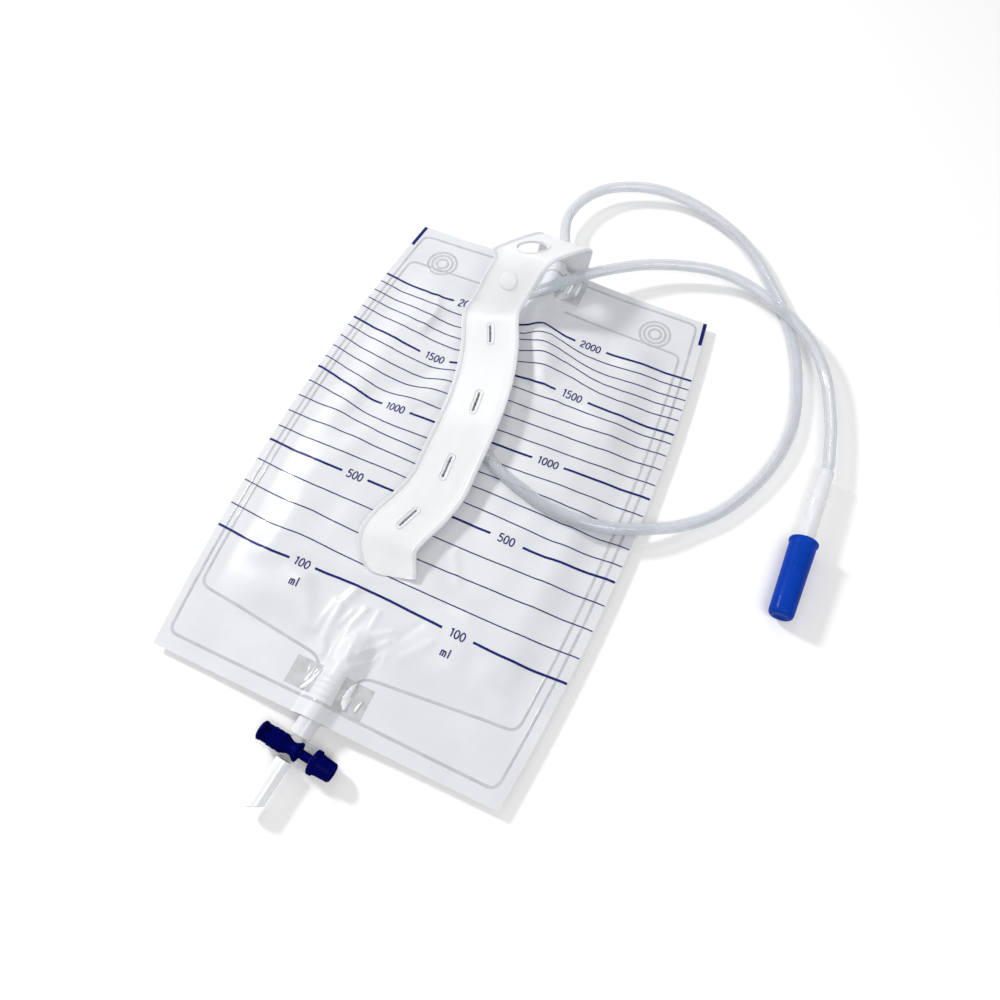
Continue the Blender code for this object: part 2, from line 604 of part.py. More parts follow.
def make_strap(root):
    """Moulded band with rolled rims: loose tip, four slots, button stud, rail hole and foot."""
    middle, across, along, face, distance = strap_frames()
    half, rim, plate = STRAP_WIDTH / 2, STRAP_RIM / 2, STRAP_PLATE / 2
    foot = corner(distance[-1] - distance, STRAP_FOOT_CORNER)
    left = half - corner(distance, STRAP_TIP_CORNER) - foot
    right = half - corner(distance, 0.4 * STRAP_TIP_CORNER) - foot
    inner = STRAP_RIM_WIDTH
    rings = []
    for i in range(len(middle)):
        lt, rt = left[i], right[i]
        section = [(-lt, -rim), (-lt + inner, -rim), (-lt + 1.3 * inner, -plate), (0, -plate),
                   (rt - 1.3 * inner, -plate), (rt - inner, -rim), (rt, -rim), (rt, rim),
                   (rt - inner, rim), (rt - 1.3 * inner, plate), (0, plate),
                   (-lt + 1.3 * inner, plate), (-lt + inner, rim), (-lt, rim)]
        rings.append([middle[i] + across[i] * side + face[i] * up for side, up in section])
    strap = add_object("hanger_strap", closed_skin(rings), strap_plastic(), root, smooth=50)

    def place_on_band(tool, at, side=0.0):
        i = int(np.argmin(abs(distance - at)))
        square = np.cross(along[i], face[i])
        turn = Matrix([square, along[i], face[i]]).transposed().to_4x4()
        spot = middle[i] + along[i] * (at - distance[i]) + across[i] * side
        tool.matrix_local = Matrix.Translation(Vector(spot)) @ turn

    def stadium(name, length, width, depth):
        """Rounded slot cutter with its length along the band."""
        bm = bmesh.new()
        bmesh.ops.create_cone(bm, cap_ends=True, segments=ROUND, radius1=width / 2,
                              radius2=width / 2, depth=depth)
        for vert in bm.verts:
            vert.co.y += math.copysign((length - width) / 2, vert.co.y - 1e-6)
        return add_object(name, bm, strap_plastic(), root)

    for number, at in enumerate(SLOT_DISTANCES):
        cutter = stadium(f"slot_{number + 1}", SLOT_LENGTH, SLOT_WIDTH, 4 * STRAP_RIM)
        place_on_band(cutter, at)
        boolean(strap, cutter, "DIFFERENCE")
    rail = stadium("rail_hole", RAIL_HOLE_WIDTH, RAIL_HOLE_WIDTH, 4 * STRAP_RIM)
    rail.data.transform(Matrix.Diagonal((RAIL_HOLE_LENGTH / RAIL_HOLE_WIDTH, 1, 1, 1)))
    place_on_band(rail, RAIL_HOLE_DISTANCE, RAIL_HOLE_SIDE)
    boolean(strap, rail, "DIFFERENCE")
    past = 4 * STRAP_RIM
    hole = INLET_RADIUS + GAP
    port_hole = add_object("port_hole", turned([(-past, 0), (-past, hole), (past, hole), (past, 0)],
                                               axis="Y"), strap_plastic(), root,
                           (INLET_X, STRAP_STATIONS[-2][1] * MM, INLET_HEIGHT))
    boolean(strap, port_hole, "DIFFERENCE")
    stud = turned([(0, 0), (0, STUD_RADIUS), (STUD_HEIGHT, STUD_RADIUS),
                   (STUD_HEIGHT + 0.6 * MM, STUD_RADIUS - 0.6 * MM), (STUD_HEIGHT + 0.6 * MM, 0)])
    stud.transform(Matrix.Rotation(math.pi / 2, 4, "Y"))
    button = add_object("button_stud", stud, strap_plastic(), root)
    place_on_band(button, STUD_DISTANCE)
    boolean(strap, button, "UNION")


# Tube and cap

def make_tube(root):
    """Inlet tube: a plain round cord through the route's points."""
    ends = np.array(TUBE_ROUTE)[[0, -1]] * MM
    between = evenly_spaced(spline(TUBE_ROUTE[1:-1], 12) * MM, TUBE_POINT_SPACING)
    points = np.vstack([ends[:1], between, ends[1:]])
    curve = bpy.data.curves.new("inlet_tube", "CURVE")
    curve.dimensions = "3D"
    curve.bevel_depth = TUBE_RADIUS
    curve.bevel_resolution = 3
    curve.use_fill_caps = True
    line = curve.splines.new("POLY")
    line.points.add(len(points) - 1)
    for slot, point in zip(line.points, points):
        slot.co = (*point, 1)
    tube = bpy.data.objects.new("inlet_tube", curve)
    bpy.context.scene.collection.objects.link(tube)
    curve.materials.append(clear_plastic())
    tube.parent = root


def make_connector(mouth):
    """Stepped connector: sleeve end for the tube, seat ring inside the cap, tapered nose."""
    ring = CAP_RADIUS - CAP_WALL - GAP
    deep = SEAT_RING_DEPTH + SEAT_RING_LENGTH
    reach, nose = CONNECTOR_REACH, CONNECTOR_NOSE
    step = (CONNECTOR_MOUTH_RADIUS - CONNECTOR_NOSE_RADIUS) / 3
    third = (nose - deep) / 3
    profile = [(reach, CONNECTOR_BORE), (reach, CONNECTOR_REAR_RADIUS),
               (0.6 * reach, CONNECTOR_REAR_RADIUS + 0.1 * MM),
               (0.57 * reach, CONNECTOR_MOUTH_RADIUS - 0.2 * MM),
               (0, CONNECTOR_MOUTH_RADIUS), (-SEAT_RING_DEPTH, CONNECTOR_MOUTH_RADIUS),
               (-SEAT_RING_DEPTH - 0.5 * MM, ring), (-deep + 0.5 * MM, ring)]
    for i in range(3):
        top = CONNECTOR_MOUTH_RADIUS - step * i
        profile += [(-deep - third * i, top - 0.1 * MM), (-deep - third * (i + 0.9), top - step * 0.7)]
    profile += [(-nose, CONNECTOR_NOSE_RADIUS - 0.3 * MM), (-nose, CONNECTOR_BORE)]
    add_object("tube_connector", turned(profile, axis="Y"), clear_plastic(), mouth)


def make_cap(mouth):
    """Slip-on cap with a rolled rim, a slight taper and a dimpled end."""
    inner, inner_end = CAP_RADIUS - CAP_WALL, CAP_END_RADIUS - CAP_WALL
    length, roll = CAP_LENGTH, CAP_RIM_RADIUS - CAP_RADIUS
    profile = [(-0.3 * MM, inner + 0.3 * MM), (0, inner + 0.7 * MM), (0, CAP_RIM_RADIUS - 0.3 * MM),
               (-0.5 * MM, CAP_RIM_RADIUS), (-1.6 * MM, CAP_RIM_RADIUS),
               (-1.6 * MM - roll, CAP_RADIUS), (-length + 2 * MM, CAP_END_RADIUS),
               (-length + 0.6 * MM, CAP_END_RADIUS - 0.6 * MM), (-length, CAP_END_RADIUS - 1.8 * MM),
               (-length, CAP_DIMPLE), (-length + 0.8 * MM, CAP_DIMPLE - 0.9 * MM),
               (-length + 0.8 * MM, 0), (-length + 2.4 * MM, 0),
               (-length + 2.4 * MM, inner_end - 0.9 * MM), (-length + 3.3 * MM, inner_end)]
    add_object("connector_cap", turned(profile, axis="Y"), cap_blue(), mouth)


def stand_on_origin(root):
    """Move the whole model so that the bag, without its tube, stands on its footprint's centre."""
    bpy.context.view_layer.update()
    view = bpy.context.evaluated_depsgraph_get()
    corners = []
    for obj in bpy.data.objects:
        if obj.type == "EMPTY" or obj.hide_render or obj.name in FREE_CORD:
            continue
        shown = obj.evaluated_get(view)
        mesh = shown.to_mesh()
        points = np.empty(3 * len(mesh.vertices))
        mesh.vertices.foreach_get("co", points)
        turn = np.array(shown.matrix_world)
        corners.append(points.reshape(-1, 3) @ turn[:3, :3].T + turn[:3, 3])
        shown.to_mesh_clear()
    every = np.concatenate(corners)
    low, high = every.min(axis=0), every.max(axis=0)
    root.location = (-(low[0] + high[0]) / 2, -(low[1] + high[1]) / 2, -low[2])


def main():
    clear_scene()
    root = add_empty("bag_middle")
    drain = add_empty("drain_ribs", root,
                      (DRAIN_X, BAG_BOTTOM + DRAIN_FROM_EDGE, DRAIN_HEIGHT), DRAIN_YAW)
    valve = add_empty("valve_crossing", drain, (0, -VALVE_FROM_RIBS, 0))
    mouth = add_empty("cap_mouth", root, (CAP_X, CAP_MOUTH_Y, CAP_HEIGHT))
    make_films(root)
    make_inlet_port(root)
    make_sleeve(root)
    make_drain_port(drain)
    make_valve_body(valve)
    make_plunger(valve)
    make_outlet_tube(valve)
    make_strap(root)
    make_tube(root)
    make_connector(mouth)
    make_cap(mouth)
    stand_on_origin(root)


main()
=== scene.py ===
"""Looks of the urine drainage bag: creased films, weld beads, printed scale, strap, tube and valve.

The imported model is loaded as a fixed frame. Every shape below is worked out with numpy in the
bag's own coordinates, metres from the middle of the bag, and is moved HOME as it becomes a mesh.
"""
import math

import bmesh
import bpy
import numpy as np
from bpy.props import FloatProperty, FloatVectorProperty, PointerProperty
from mathutils import Matrix, Vector


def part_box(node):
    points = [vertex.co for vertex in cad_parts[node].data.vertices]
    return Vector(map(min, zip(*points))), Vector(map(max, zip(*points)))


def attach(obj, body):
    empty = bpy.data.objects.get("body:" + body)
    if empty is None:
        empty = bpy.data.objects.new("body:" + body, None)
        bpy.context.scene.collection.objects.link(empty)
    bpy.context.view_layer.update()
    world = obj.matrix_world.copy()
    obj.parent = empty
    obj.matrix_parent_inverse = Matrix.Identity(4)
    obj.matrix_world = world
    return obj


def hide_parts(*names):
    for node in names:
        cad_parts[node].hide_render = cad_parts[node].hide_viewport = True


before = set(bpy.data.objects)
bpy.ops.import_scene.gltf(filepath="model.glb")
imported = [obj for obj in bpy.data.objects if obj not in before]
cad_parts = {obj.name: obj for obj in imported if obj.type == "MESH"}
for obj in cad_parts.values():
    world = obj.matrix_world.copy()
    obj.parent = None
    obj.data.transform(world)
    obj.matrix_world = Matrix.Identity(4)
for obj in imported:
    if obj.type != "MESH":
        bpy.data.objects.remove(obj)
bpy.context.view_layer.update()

bl_info = {
    "name": "Urine Drainage Bag",
    "version": (1, 0, 0),
    "blender": (4, 5, 0),
    "location": "3D View > Sidebar > Drainage Bag",
    "description": "Dresses a packed urine drainage bag with films, print, strap, tube and valve",
    "category": "Object",
}

MM = 0.001
FILM_BOX = np.array(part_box("bag_front_film")[:2])
FILM_MIDDLE = np.array([1.4, -2.45]) * MM
HOME = np.array([*(FILM_BOX.mean(axis=0)[:2] - FILM_MIDDLE), 0.0])
HALF_LENGTH = (FILM_BOX[1, 1] - FILM_BOX[0, 1]) / 2
SIDE_BULGE = 9.6 * MM
END_HALF_WIDTH = (FILM_BOX[1, 0] - FILM_BOX[0, 0]) / 2 - SIDE_BULGE

# Widths of the welded margins, the rise from a weld to the crown, heights of seam and crown
SIDE_WELD = 14 * MM
DRAIN_WELD = 29.5 * MM
INLET_WELD = 25.5 * MM
RISE = 23 * MM
SEAM = 4.3 * MM
CROWN = 8.0 * MM

# Ports and valve in the bag's coordinates, and the ribs along the drain port
INLET = np.array([-1.0, 157.0, 7.5]) * MM
DRAIN = np.array([-1.0, -141.0, 6.9]) * MM
DRAIN_YAW = math.radians(-4.8)
DRAIN_RIBS = np.array([4.8, 1.6, -1.6, -4.8]) * MM
VALVE = DRAIN + 33.4 * MM * np.array([math.sin(DRAIN_YAW), -math.cos(DRAIN_YAW), 0])
CAP_MOUTH = np.array([193.6, 34.0, 8.1]) * MM

# The photograph's camera: azimuth, height and roll in degrees, the spot that it looks at and how
# far away it stands. The lights aim at a spot of their own.
CAMERA_ANGLES = (25.977, 64.779, 1.475)
CAMERA_TARGET = np.array([31.67, -7.6, 0]) * MM
CAMERA_DISTANCE = 454.3 * MM
LIGHT_TARGET = np.array([30, 20, 0]) * MM
FLOOR_HALF = 3.0

# Strap stations in millimetres and degrees: middle of the band, turn of its width in plan, bank.
STRAP_STATIONS = (
    (-3.7, -77.5, 10.0, 15, 0), (-7.8, -67.0, 12.2, 6, 0), (-10.0, -59.5, 14.4, -3, 0),
    (-8.6, -50.0, 14.3, -14, 0), (-4.0, -36.0, 13.8, -15, 0), (-0.6, -20.0, 14.3, -6, 0),
    (-0.9, -2.0, 16.2, -1, 0), (-1.6, 18.0, 17.6, 2, 0), (-3.8, 40.0, 17.9, 7, 0),
    (-8.2, 61.0, 17.9, 16, 0), (-14.5, 79.5, 17.8, 21, 0), (-21.0, 93.5, 17.6, 21, 0),
    (-22.2, 99.5, 18.8, 19, 0), (-20.3, 107.5, 24.0, 17, 0), (-18.2, 116.5, 30.8, 13, 0),
    (-15.3, 125.6, 37.6, 5, 0), (-13.6, 130.2, 39.4, 2, 0), (-6.6, 142.6, 37.0, 1, 0),
    (0.4, 154.0, 33.0, 0, 0), (1.8, 157.3, 29.6, 0, 0), (1.4, 158.3, 24.0, 0, 0),
    (0.2, 158.0, 15.5, 0, 0), (-1.0, 157.6, 7.5, 0, 0), (-1.0, 157.5, 0.9, 0, 0),
)
# Holes in the strap in millimetres: place along and across the band, length and width
SLOTS = tuple((distance, 0, 12.6, 0.9) for distance in (35.7, 72.7, 116.7, 165.7))
EYE = (230.7, -3.3, 15.2, 13.6)
STUD_DISTANCE = 202.7 * MM

# Corners of the weld lines, places and radii of the eyelet rings, left, right, low and high edge
# of the clear pads
WELD_LINES = {
    "outer_weld": (((0, 148.0), (94.0, 150.0), (94.0, 0), (94.0, -150.5), (0, -150),
                    (-92.5, -150), (-92.5, 0), (-92.5, 146.5), (0, 148.0)),),
    "inner_weld": (((9.5, -141), (9.5, -134.0), (13.0, -129.2), (89.0, -121.5), (89.0, 0),
                    (89.0, 124.0), (16, 124.0)),
                   ((-11.5, -141), (-11.5, -134.0), (-16.0, -129.0), (-89.0, -121.0),
                    (-89.0, 0), (-89.0, 124.0), (-18, 124.0))),
}
EYELETS = ((-72.5 * MM, 129.5 * MM), (72.8 * MM, 133.0 * MM))
EYELET_RADII = (9.4 * MM, 6.7 * MM, 3.8 * MM)
PADS = ((-24.6, -9.2, -147.6, -132.4), (4.8, 20.2, -149.4, -133.2),
        (-21.5, -6.5, 131.5, 151.0), (5.0, 21.5, 131.5, 151.0))

# Route of the inlet tube in millimetres, from the inlet port to the connector
TUBE_ROUTE = (
    (-1.0, 163.8, 7.5), (-1.0, 168.3, 7.5), (-7.6, 181.0, 8.7), (-11.7, 196.0, 9.6),
    (-8.3, 213.6, 10.0), (1.6, 228.5, 10.0), (18.1, 238.6, 10.0), (36.5, 243.2, 9.8),
    (59.0, 242.0, 9.0), (80.8, 235.6, 7.6), (99.2, 227.0, 6.0), (112.9, 216.4, 4.7),
    (126.2, 202.0, 3.8), (139.6, 185.6, 3.5), (153.0, 161.5, 3.5), (162.2, 137.0, 3.5),
    (168.4, 104.0, 3.5), (164.1, 70.6, 3.5), (147.6, 35.0, 3.6), (131.4, 18.2, 5.0),
    (115.6, 7.0, 8.2), (97.5, -2.0, 10.8), (79.2, -6.4, 12.0), (59.1, -5.9, 12.4),
    (40.1, -1.2, 12.4), (20.5, 6.4, 12.4), (-5.1, 26.5, 12.4), (-20.5, 59.0, 12.4),
    (-23.2, 90.0, 12.6), (-11.5, 116.8, 15.4), (4.0, 132.5, 16.9), (24.3, 155.9, 15.0),
    (57.0, 179.6, 12.5), (97.2, 190.8, 11.3), (129.9, 182.2, 11.0), (156.0, 167.2, 10.6),
    (174.5, 145.5, 9.2), (187.4, 113.5, 8.2), (193.6, 86.0, 8.1), (193.6, 80.9, 8.1),
)
TUBE_RADIUS = 3.4 * MM
TUBE_BORE = 2.3 * MM

# Folds of the front film in millimetres: middle, turn in degrees, half length, half width, height
FOLDS = (
    (15, 92, -58, 24, 9, 4.2), (-46, 40, 50, 26, 9, -2.6), (-66, 12, 75, 30, 11, -2.4),
    (-62, -16, 70, 26, 11, 1.5), (62, 60, -20, 34, 13, 1.2), (70, 28, -25, 30, 14, -1.2),
    (-30, 52, 62, 20, 8, 1.6), (-52, -62, 80, 20, 9, -1.2), (-80, -62, 70, 16, 9, -1.1),
    (-70, -84, 60, 16, 9, 1.3), (48, -112, 82, 14, 8, 1.0), (66, -104, 80, 16, 7, 0.9),
    (82, -92, 70, 12, 8, 1.0), (0, -80, -2, 70, 6, 1.1), (40, -60, -30, 30, 12, -1.0),
    (-62, 84, 70, 18, 8, 1.2), (-48, 78, 74, 20, 8, -1.2), (-80, 66, 65, 20, 10, 1.1),
    (24, -24, -50, 26, 7, -1.1), (42, 4, 20, 22, 10, 0.8), (56, 98, -15, 22, 9, -0.9),
    (-78, 100, 10, 16, 9, 1.0), (-84, -34, 82, 26, 8, 1.0), (78, -30, 84, 40, 9, 0.9),
)

# Creases of the front film in millimetres: half width, height, and the line that each follows
CREASES = (
    (2.4, 1.6, ((-13.7, -91.2), (-16.9, -99.7), (-17.1, -110.5), (-16.8, -119.9), (-13.6, -127))),
    (1.8, 1.3, ((-3.7, -97.7), (-6.8, -107.5), (-7.5, -113.4), (-8.5, -121.7), (-6.7, -127.8))),
    (1.3, 0.8, ((-9.4, -101), (-12.6, -110.5))), (1.2, 0.7, ((3.3, -95.9), (3.1, -105.4))),
    (1.5, 0.9, ((14.7, -108.8), (9.3, -114.7), (5.6, -119.6))),
    (1.7, 1, ((12.8, -118), (8.9, -123.7), (5, -128.7))),
    (1.3, 0.5, ((16.8, -114.6), (17.2, -120.8))), (1.3, 0.7, ((14, -102.8), (7.4, -108.2))),
    (1.9, 0.8, ((-20.7, -100.2), (-22.4, -110.2), (-22.9, -117.2))),
    (5, 1.4, ((-41.1, -96.6), (-28.2, -116))), (1.6, 0.8, ((-1, -112), (0.6, -126))),
    (5.5, 1.3, ((-71, -92.6), (-56.8, -90.3), (-45.6, -98.4))),
    (2.6, 0.8, ((26, -112), (34.5, -100))), (2.2, -0.7, ((20, -103), (25.5, -93))),
    (3, 0.8, ((-1.5, 66), (4, 54), (2, 40))), (2.4, 0.8, ((21, 76), (27, 66), (38, 60))),
    (2.6, 0.9, ((-62, 104), (-57, 92), (-59, 76))), (2.4, -0.8, ((-36, 22), (-24, 30))),
    (2.6, 0.8, ((24, -50), (33, -64))),
)

# Folds pressed into the clear pads in millimetres: width, height, and the line of each
PAD_FOLDS = (
    (3.0, 1.1, ((-8.8, -134.7), (-11.5, -141.0), (-13.9, -145.9), (-15.2, -147.2))),
    (1.6, 0.7, ((-13.2, -135.8), (-14.1, -140.5), (-14.7, -143.5))),
    (4.0, 1.3, ((10.3, -133.6), (9.2, -138.7), (9.3, -144.1), (10.6, -147.9))),
    (1.6, 0.7, ((17.3, -139.9), (16.2, -143.1), (15.8, -146.5))),
    (1.8, 0.8, ((8.6, 150.0), (8.2, 144.0), (7.6, 138.0))),
    (1.8, 0.8, ((13.0, 149.0), (12.8, 143.0), (12.4, 137.0))),
    (1.8, 0.8, ((17.4, 150.0), (17.4, 144.0), (17.2, 137.5))),
)

# Drift of the printed lines along the bag in tenths of a millimetre, because slack film has
# shifted: one row for each height on the bag, one column for each place across it
DRIFT_X = (-104, -94, -84, -74, -66, -58, -50, -42, -34, -26, -16, 0, 8, 16, 24, 32, 40, 48, 58,
           70, 84, 104)
DRIFT_Y = (-157, -88.5, -74, -58, -44, -30, -19, -8, 3, 13, 24, 34, 44, 54, 68, 78, 86, 93, 100,
           107.5, 157)
DRIFT = (
    (5, 2, -2, -6, -7, -6, -3, 1, 5, 8, 11, 12, 11, 9, 6, 2, -2, -5, -8, -10, -9, -7),
    (12, 6, -3, -15, -17, -11, -6, -4, -3, 1, 3, 1, -1, -4, -7, -11, -16, -19, -22, -26, -21, -8),
    (13, 6, -3, -14, -14, -6, -7, -11, -15, -18, -23, -28, -28, -27, -27, -26, -26, -27, -27, -26,
      -18, -4),
    (11, 3, -5, -13, -12, -9, -14, -20, -23, -24, -27, -29, -28, -25, -24, -22, -21, -20, -20,
      -18, -9, 2),
    (10, 3, -5, -15, -18, -17, -16, -16, -17, -18, -20, -21, -21, -20, -19, -19, -19, -19, -17,
      -15, -6, 7),
    (10, 4, -4, -15, -17, -14, -10, -8, -8, -8, -11, -13, -13, -12, -11, -13, -16, -18, -21, -21,
      -7, 12),
    (10, 7, 0, -8, -10, -8, -4, -3, -3, -4, -8, -10, -9, -5, -5, -10, -12, -14, -17, -21, -13, 10),
    (13, 10, 7, 4, -1, -6, -10, -12, -15, -17, -19, -18, -14, -9, -8, -10, -10, -10, -13, -18,
      -13, 7),
    (20, 16, 13, 6, -4, -18, -29, -33, -36, -38, -37, -33, -28, -26, -22, -20, -20, -19, -17, -19,
      -14, 2),
    (29, 17, -2, -23, -35, -50, -60, -63, -63, -61, -52, -45, -40, -37, -35, -33, -31, -27, -21,
      -17, -6, 7),
    (28, 9, -16, -41, -52, -57, -61, -62, -62, -58, -54, -49, -45, -43, -42, -39, -36, -31, -25,
      -17, -7, 7),
    (20, 0, -24, -49, -59, -61, -59, -55, -53, -50, -48, -46, -45, -42, -39, -37, -33, -29, -24,
      -21, -9, 9),
    (8, -12, -33, -57, -67, -70, -71, -64, -52, -44, -41, -39, -39, -37, -33, -28, -22, -19, -19,
      -19, -5, 17),
    (4, -19, -42, -65, -74, -79, -84, -81, -67, -50, -39, -30, -26, -27, -26, -22, -18, -15, -17,
      -13, 5, 24),
    (6, -9, -29, -54, -65, -71, -81, -87, -80, -62, -41, -22, -6, -2, -4, -2, -2, -4, -13, -14, 0,
      18),
    (7, -8, -26, -50, -61, -64, -70, -80, -83, -67, -42, -16, 3, 13, 19, 24, 18, 1, -18, -21, -1,
      20),
    (7, -7, -23, -45, -61, -66, -65, -75, -76, -61, -36, -11, 9, 24, 32, 30, 13, -8, -22, -22, 2,
      22),
    (9, -5, -20, -36, -52, -61, -60, -65, -61, -47, -26, 5, 15, 28, 30, 15, -5, -18, -21, -14, 7,
      23),
    (9, -5, -22, -40, -50, -58, -58, -54, -44, -38, -50, -28, 8, 27, 15, -4, -17, -19, -17, -12,
      10, 24),
    (7, -6, -21, -42, -53, -56, -47, -35, -24, -30, -80, -30, 20, 4, -13, -18, -18, -18, -18, -12,
      9, 21),
    (3, -4, -11, -18, -22, -21, -16, -9, -3, 1, 2, 0, -5, -11, -14, -13, -11, -9, -7, -3, 2, 8),
)

# Bold graduations: value, height on the bag, and the gap for the numeral in each column
BOLD_LINES = (
    ("100", -88.5, (-55.3, -47.7, -39.9), (36.5, 45.7, 54.8)),
    ("500", -30.0, (-55.8, -47.7, -39.8), (36.9, 46.7, 56.6)),
    ("1000", 24.3, (-57.3, -48.1, -38.4), (38.9, 48.5, 57.9)),
    ("1500", 68.0, (-53.0, -42.8, -33.1), (33.4, 44.0, 54.2)),
    ("2000", 107.4, (-50.7, -40.8, -31.0), (30.5, 40.7, 50.9)),
)
FINE_LINES = (-74.4, -58.8, -44.0, -19.9, -8.7, 2.3, 12.9, 33.5, 43.5, 52.5, 61.4,
              78.0, 85.5, 92.5, 100.3)

# Strokes of the numerals and of the unit in a box one high
GLYPHS = {
    "1": (((0.08, 0.80), (0.28, 0.98), (0.28, 0.02)),),
    "2": (((0.04, 0.74), (0.08, 0.88), (0.19, 0.97), (0.34, 0.97), (0.47, 0.88), (0.50, 0.73),
           (0.44, 0.57), (0.28, 0.40), (0.11, 0.22), (0.04, 0.03), (0.52, 0.03)),),
    "5": (((0.49, 0.97), (0.11, 0.97), (0.07, 0.55), (0.20, 0.62), (0.36, 0.60), (0.48, 0.48),
           (0.51, 0.31), (0.43, 0.12), (0.28, 0.03), (0.12, 0.06), (0.03, 0.18)),),
    "0": (tuple((0.28 + 0.24 * math.sin(t), 0.5 + 0.47 * math.cos(t))
                for t in np.linspace(0, 2 * math.pi, 25)),),
    "m": (((0.05, 0.0), (0.05, 0.62)),
          ((0.05, 0.48), (0.15, 0.61), (0.26, 0.60), (0.31, 0.48), (0.31, 0.0)),
          ((0.31, 0.48), (0.41, 0.61), (0.52, 0.60), (0.57, 0.48), (0.57, 0.0))),
    "l": (((0.12, 0.0), (0.12, 1.0)),),
}
GLYPH_STEP = {"1": 0.56, "m": 0.82, "l": 0.3}


# Shapes

def smooth_step(value):
    """3t^2 - 2t^3 with t held between 0 and 1."""
    t = np.clip(value, 0.0, 1.0)
    return t * t * (3 - 2 * t)


def smooth_max(a, b, blend):
    """The larger of two heights, rounded where they meet: max + (blend - |a - b|)^2 / 4 blend."""
    near = np.maximum(blend - abs(a - b), 0)
    return np.maximum(a, b) + near * near / (4 * blend)


def spline(points, steps):
    """Cubic curve through rows of numbers, slopes from the chords on each side of a point."""
    pts = np.array(points, dtype=float)
    padded = np.vstack([2 * pts[0] - pts[1], pts, 2 * pts[-1] - pts[-2]])
    p0, p1, p2, p3 = padded[:-3], padded[1:-2], padded[2:-1], padded[3:]
    t0, t1, t2 = (np.linalg.norm((b - a)[:, :3], axis=1)[:, None] ** 0.5
                  for a, b in ((p0, p1), (p1, p2), (p2, p3)))
    m1 = t1 * ((p1 - p0) / t0 - (p2 - p0) / (t0 + t1) + (p2 - p1) / t1)
    m2 = t1 * ((p2 - p1) / t1 - (p3 - p1) / (t1 + t2) + (p3 - p2) / t2)
    t = (np.arange(steps) / steps)[None, :, None]
    p1, p2, m1, m2 = (v[:, None, :] for v in (p1, p2, m1, m2))
    spans = ((2 * t**3 - 3 * t**2 + 1) * p1 + (t**3 - 2 * t**2 + t) * m1
             + (3 * t**2 - 2 * t**3) * p2 + (t**3 - t**2) * m2)
    return np.vstack([spans.reshape(-1, pts.shape[1]), pts[-1:]])


def unit(rows):
    """Each row scaled to a length of one."""
    return rows / np.linalg.norm(rows, axis=1)[:, None]


def full_turn(count):
    """Angles evenly round a circle, without the last that meets the first."""
    return np.linspace(0, 2 * math.pi, count, endpoint=False)


def path_lengths(points):
    """Distance of each point from the first along the path."""
    steps = np.linalg.norm(np.diff(points[:, :3], axis=0), axis=1)
    return np.concatenate([[0], np.cumsum(steps)])


def resample(points, spacing):
    """The same path with points an equal distance apart."""
    lengths = path_lengths(points)
    wanted = np.linspace(0, lengths[-1], max(2, int(round(lengths[-1] / spacing)) + 1))
    return np.column_stack([np.interp(wanted, lengths, column) for column in points.T])


def lattice(rows, columns, close_rows=False, close_columns=False, first=0):
    """Four-sided faces between the points of a grid that may close on itself either way."""
    r = np.arange(rows if close_rows else rows - 1)
    c = np.arange(columns if close_columns else columns - 1)
    r, c = (v.ravel() for v in np.meshgrid(r, c, indexing="ij"))
    down, along = (r + 1) % rows, (c + 1) % columns
    corners = (r * columns + c, r * columns + along, down * columns + along, down * columns + c)
    return first + np.stack(corners, axis=1)


def new_mesh(name, points, faces):
    """Points in the bag's coordinates become a mesh that stands HOME, its faces outwards."""
    mesh = bpy.data.meshes.new(name)
    mesh.from_pydata(np.asarray(points) + HOME, [], [list(face) for face in faces])
    bm = bmesh.new()
    bm.from_mesh(mesh)
    bmesh.ops.recalc_face_normals(bm, faces=bm.faces)
    bm.to_mesh(mesh)
    bm.free()
    return mesh


def smoothed(mesh, sharp):
    """Smooth shading, but for edges that turn by more than the sharp angle in degrees."""
    mesh.shade_smooth()
    mesh.set_sharp_from_angle(angle=math.radians(sharp))


def linked(name, data):
    """A new object in the scene, at the origin."""
    made = bpy.data.objects.new(name, data)
    bpy.context.scene.collection.objects.link(made)
    return made


def cut(made, shape):
    """Take a shape out of a piece for good."""
    tool = linked("cutter", new_mesh("cutter", *shape))
    step = made.modifiers.new("cut", "BOOLEAN")
    step.operation, step.solver, step.object = "DIFFERENCE", "EXACT", tool
    bpy.context.view_layer.update()
    view = bpy.context.evaluated_depsgraph_get()
    done = bpy.data.meshes.new_from_object(made.evaluated_get(view))
    made.modifiers.clear()
    made.data = done
    bpy.data.objects.remove(tool)


def piece(name, shape, finish, node=None, body="bag", sharp=40, holes=()):
    """A shape of (points, faces) becomes an object on a body; it may stand for a node."""
    mesh = new_mesh(name, *shape)
    mesh.materials.append(finish)
    made = linked(name, mesh)
    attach(made, body)
    for hole in holes:
        cut(made, hole)
    smoothed(made.data, sharp)
    if node:
        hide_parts(node)
    return made


def joined(parts):
    """Several (points, faces) shapes as one."""
    points, faces, start = [], [], 0
    for part_points, part_faces in parts:
        points.append(part_points)
        faces += [[start + i for i in face] for face in part_faces]
        start += len(part_points)
    return np.vstack(points), faces


def swept(rings, close_path=False):
    """A tube through rings of points, with a flat face over each end unless it closes."""
    count, around = rings.shape[:2]
    faces = lattice(count, around, close_rows=close_path, close_columns=True).tolist()
    if not close_path:
        faces += [list(range(around))[::-1], list(range((count - 1) * around, count * around))]
    return rings.reshape(-1, 3), faces


def walled(outer, inner):
    """Rings of an outer wall out and of an inner wall back, as one closed skin."""
    rings = np.concatenate([outer, inner[::-1]])
    return rings.reshape(-1, 3), lattice(*rings.shape[:2], True, True).tolist()


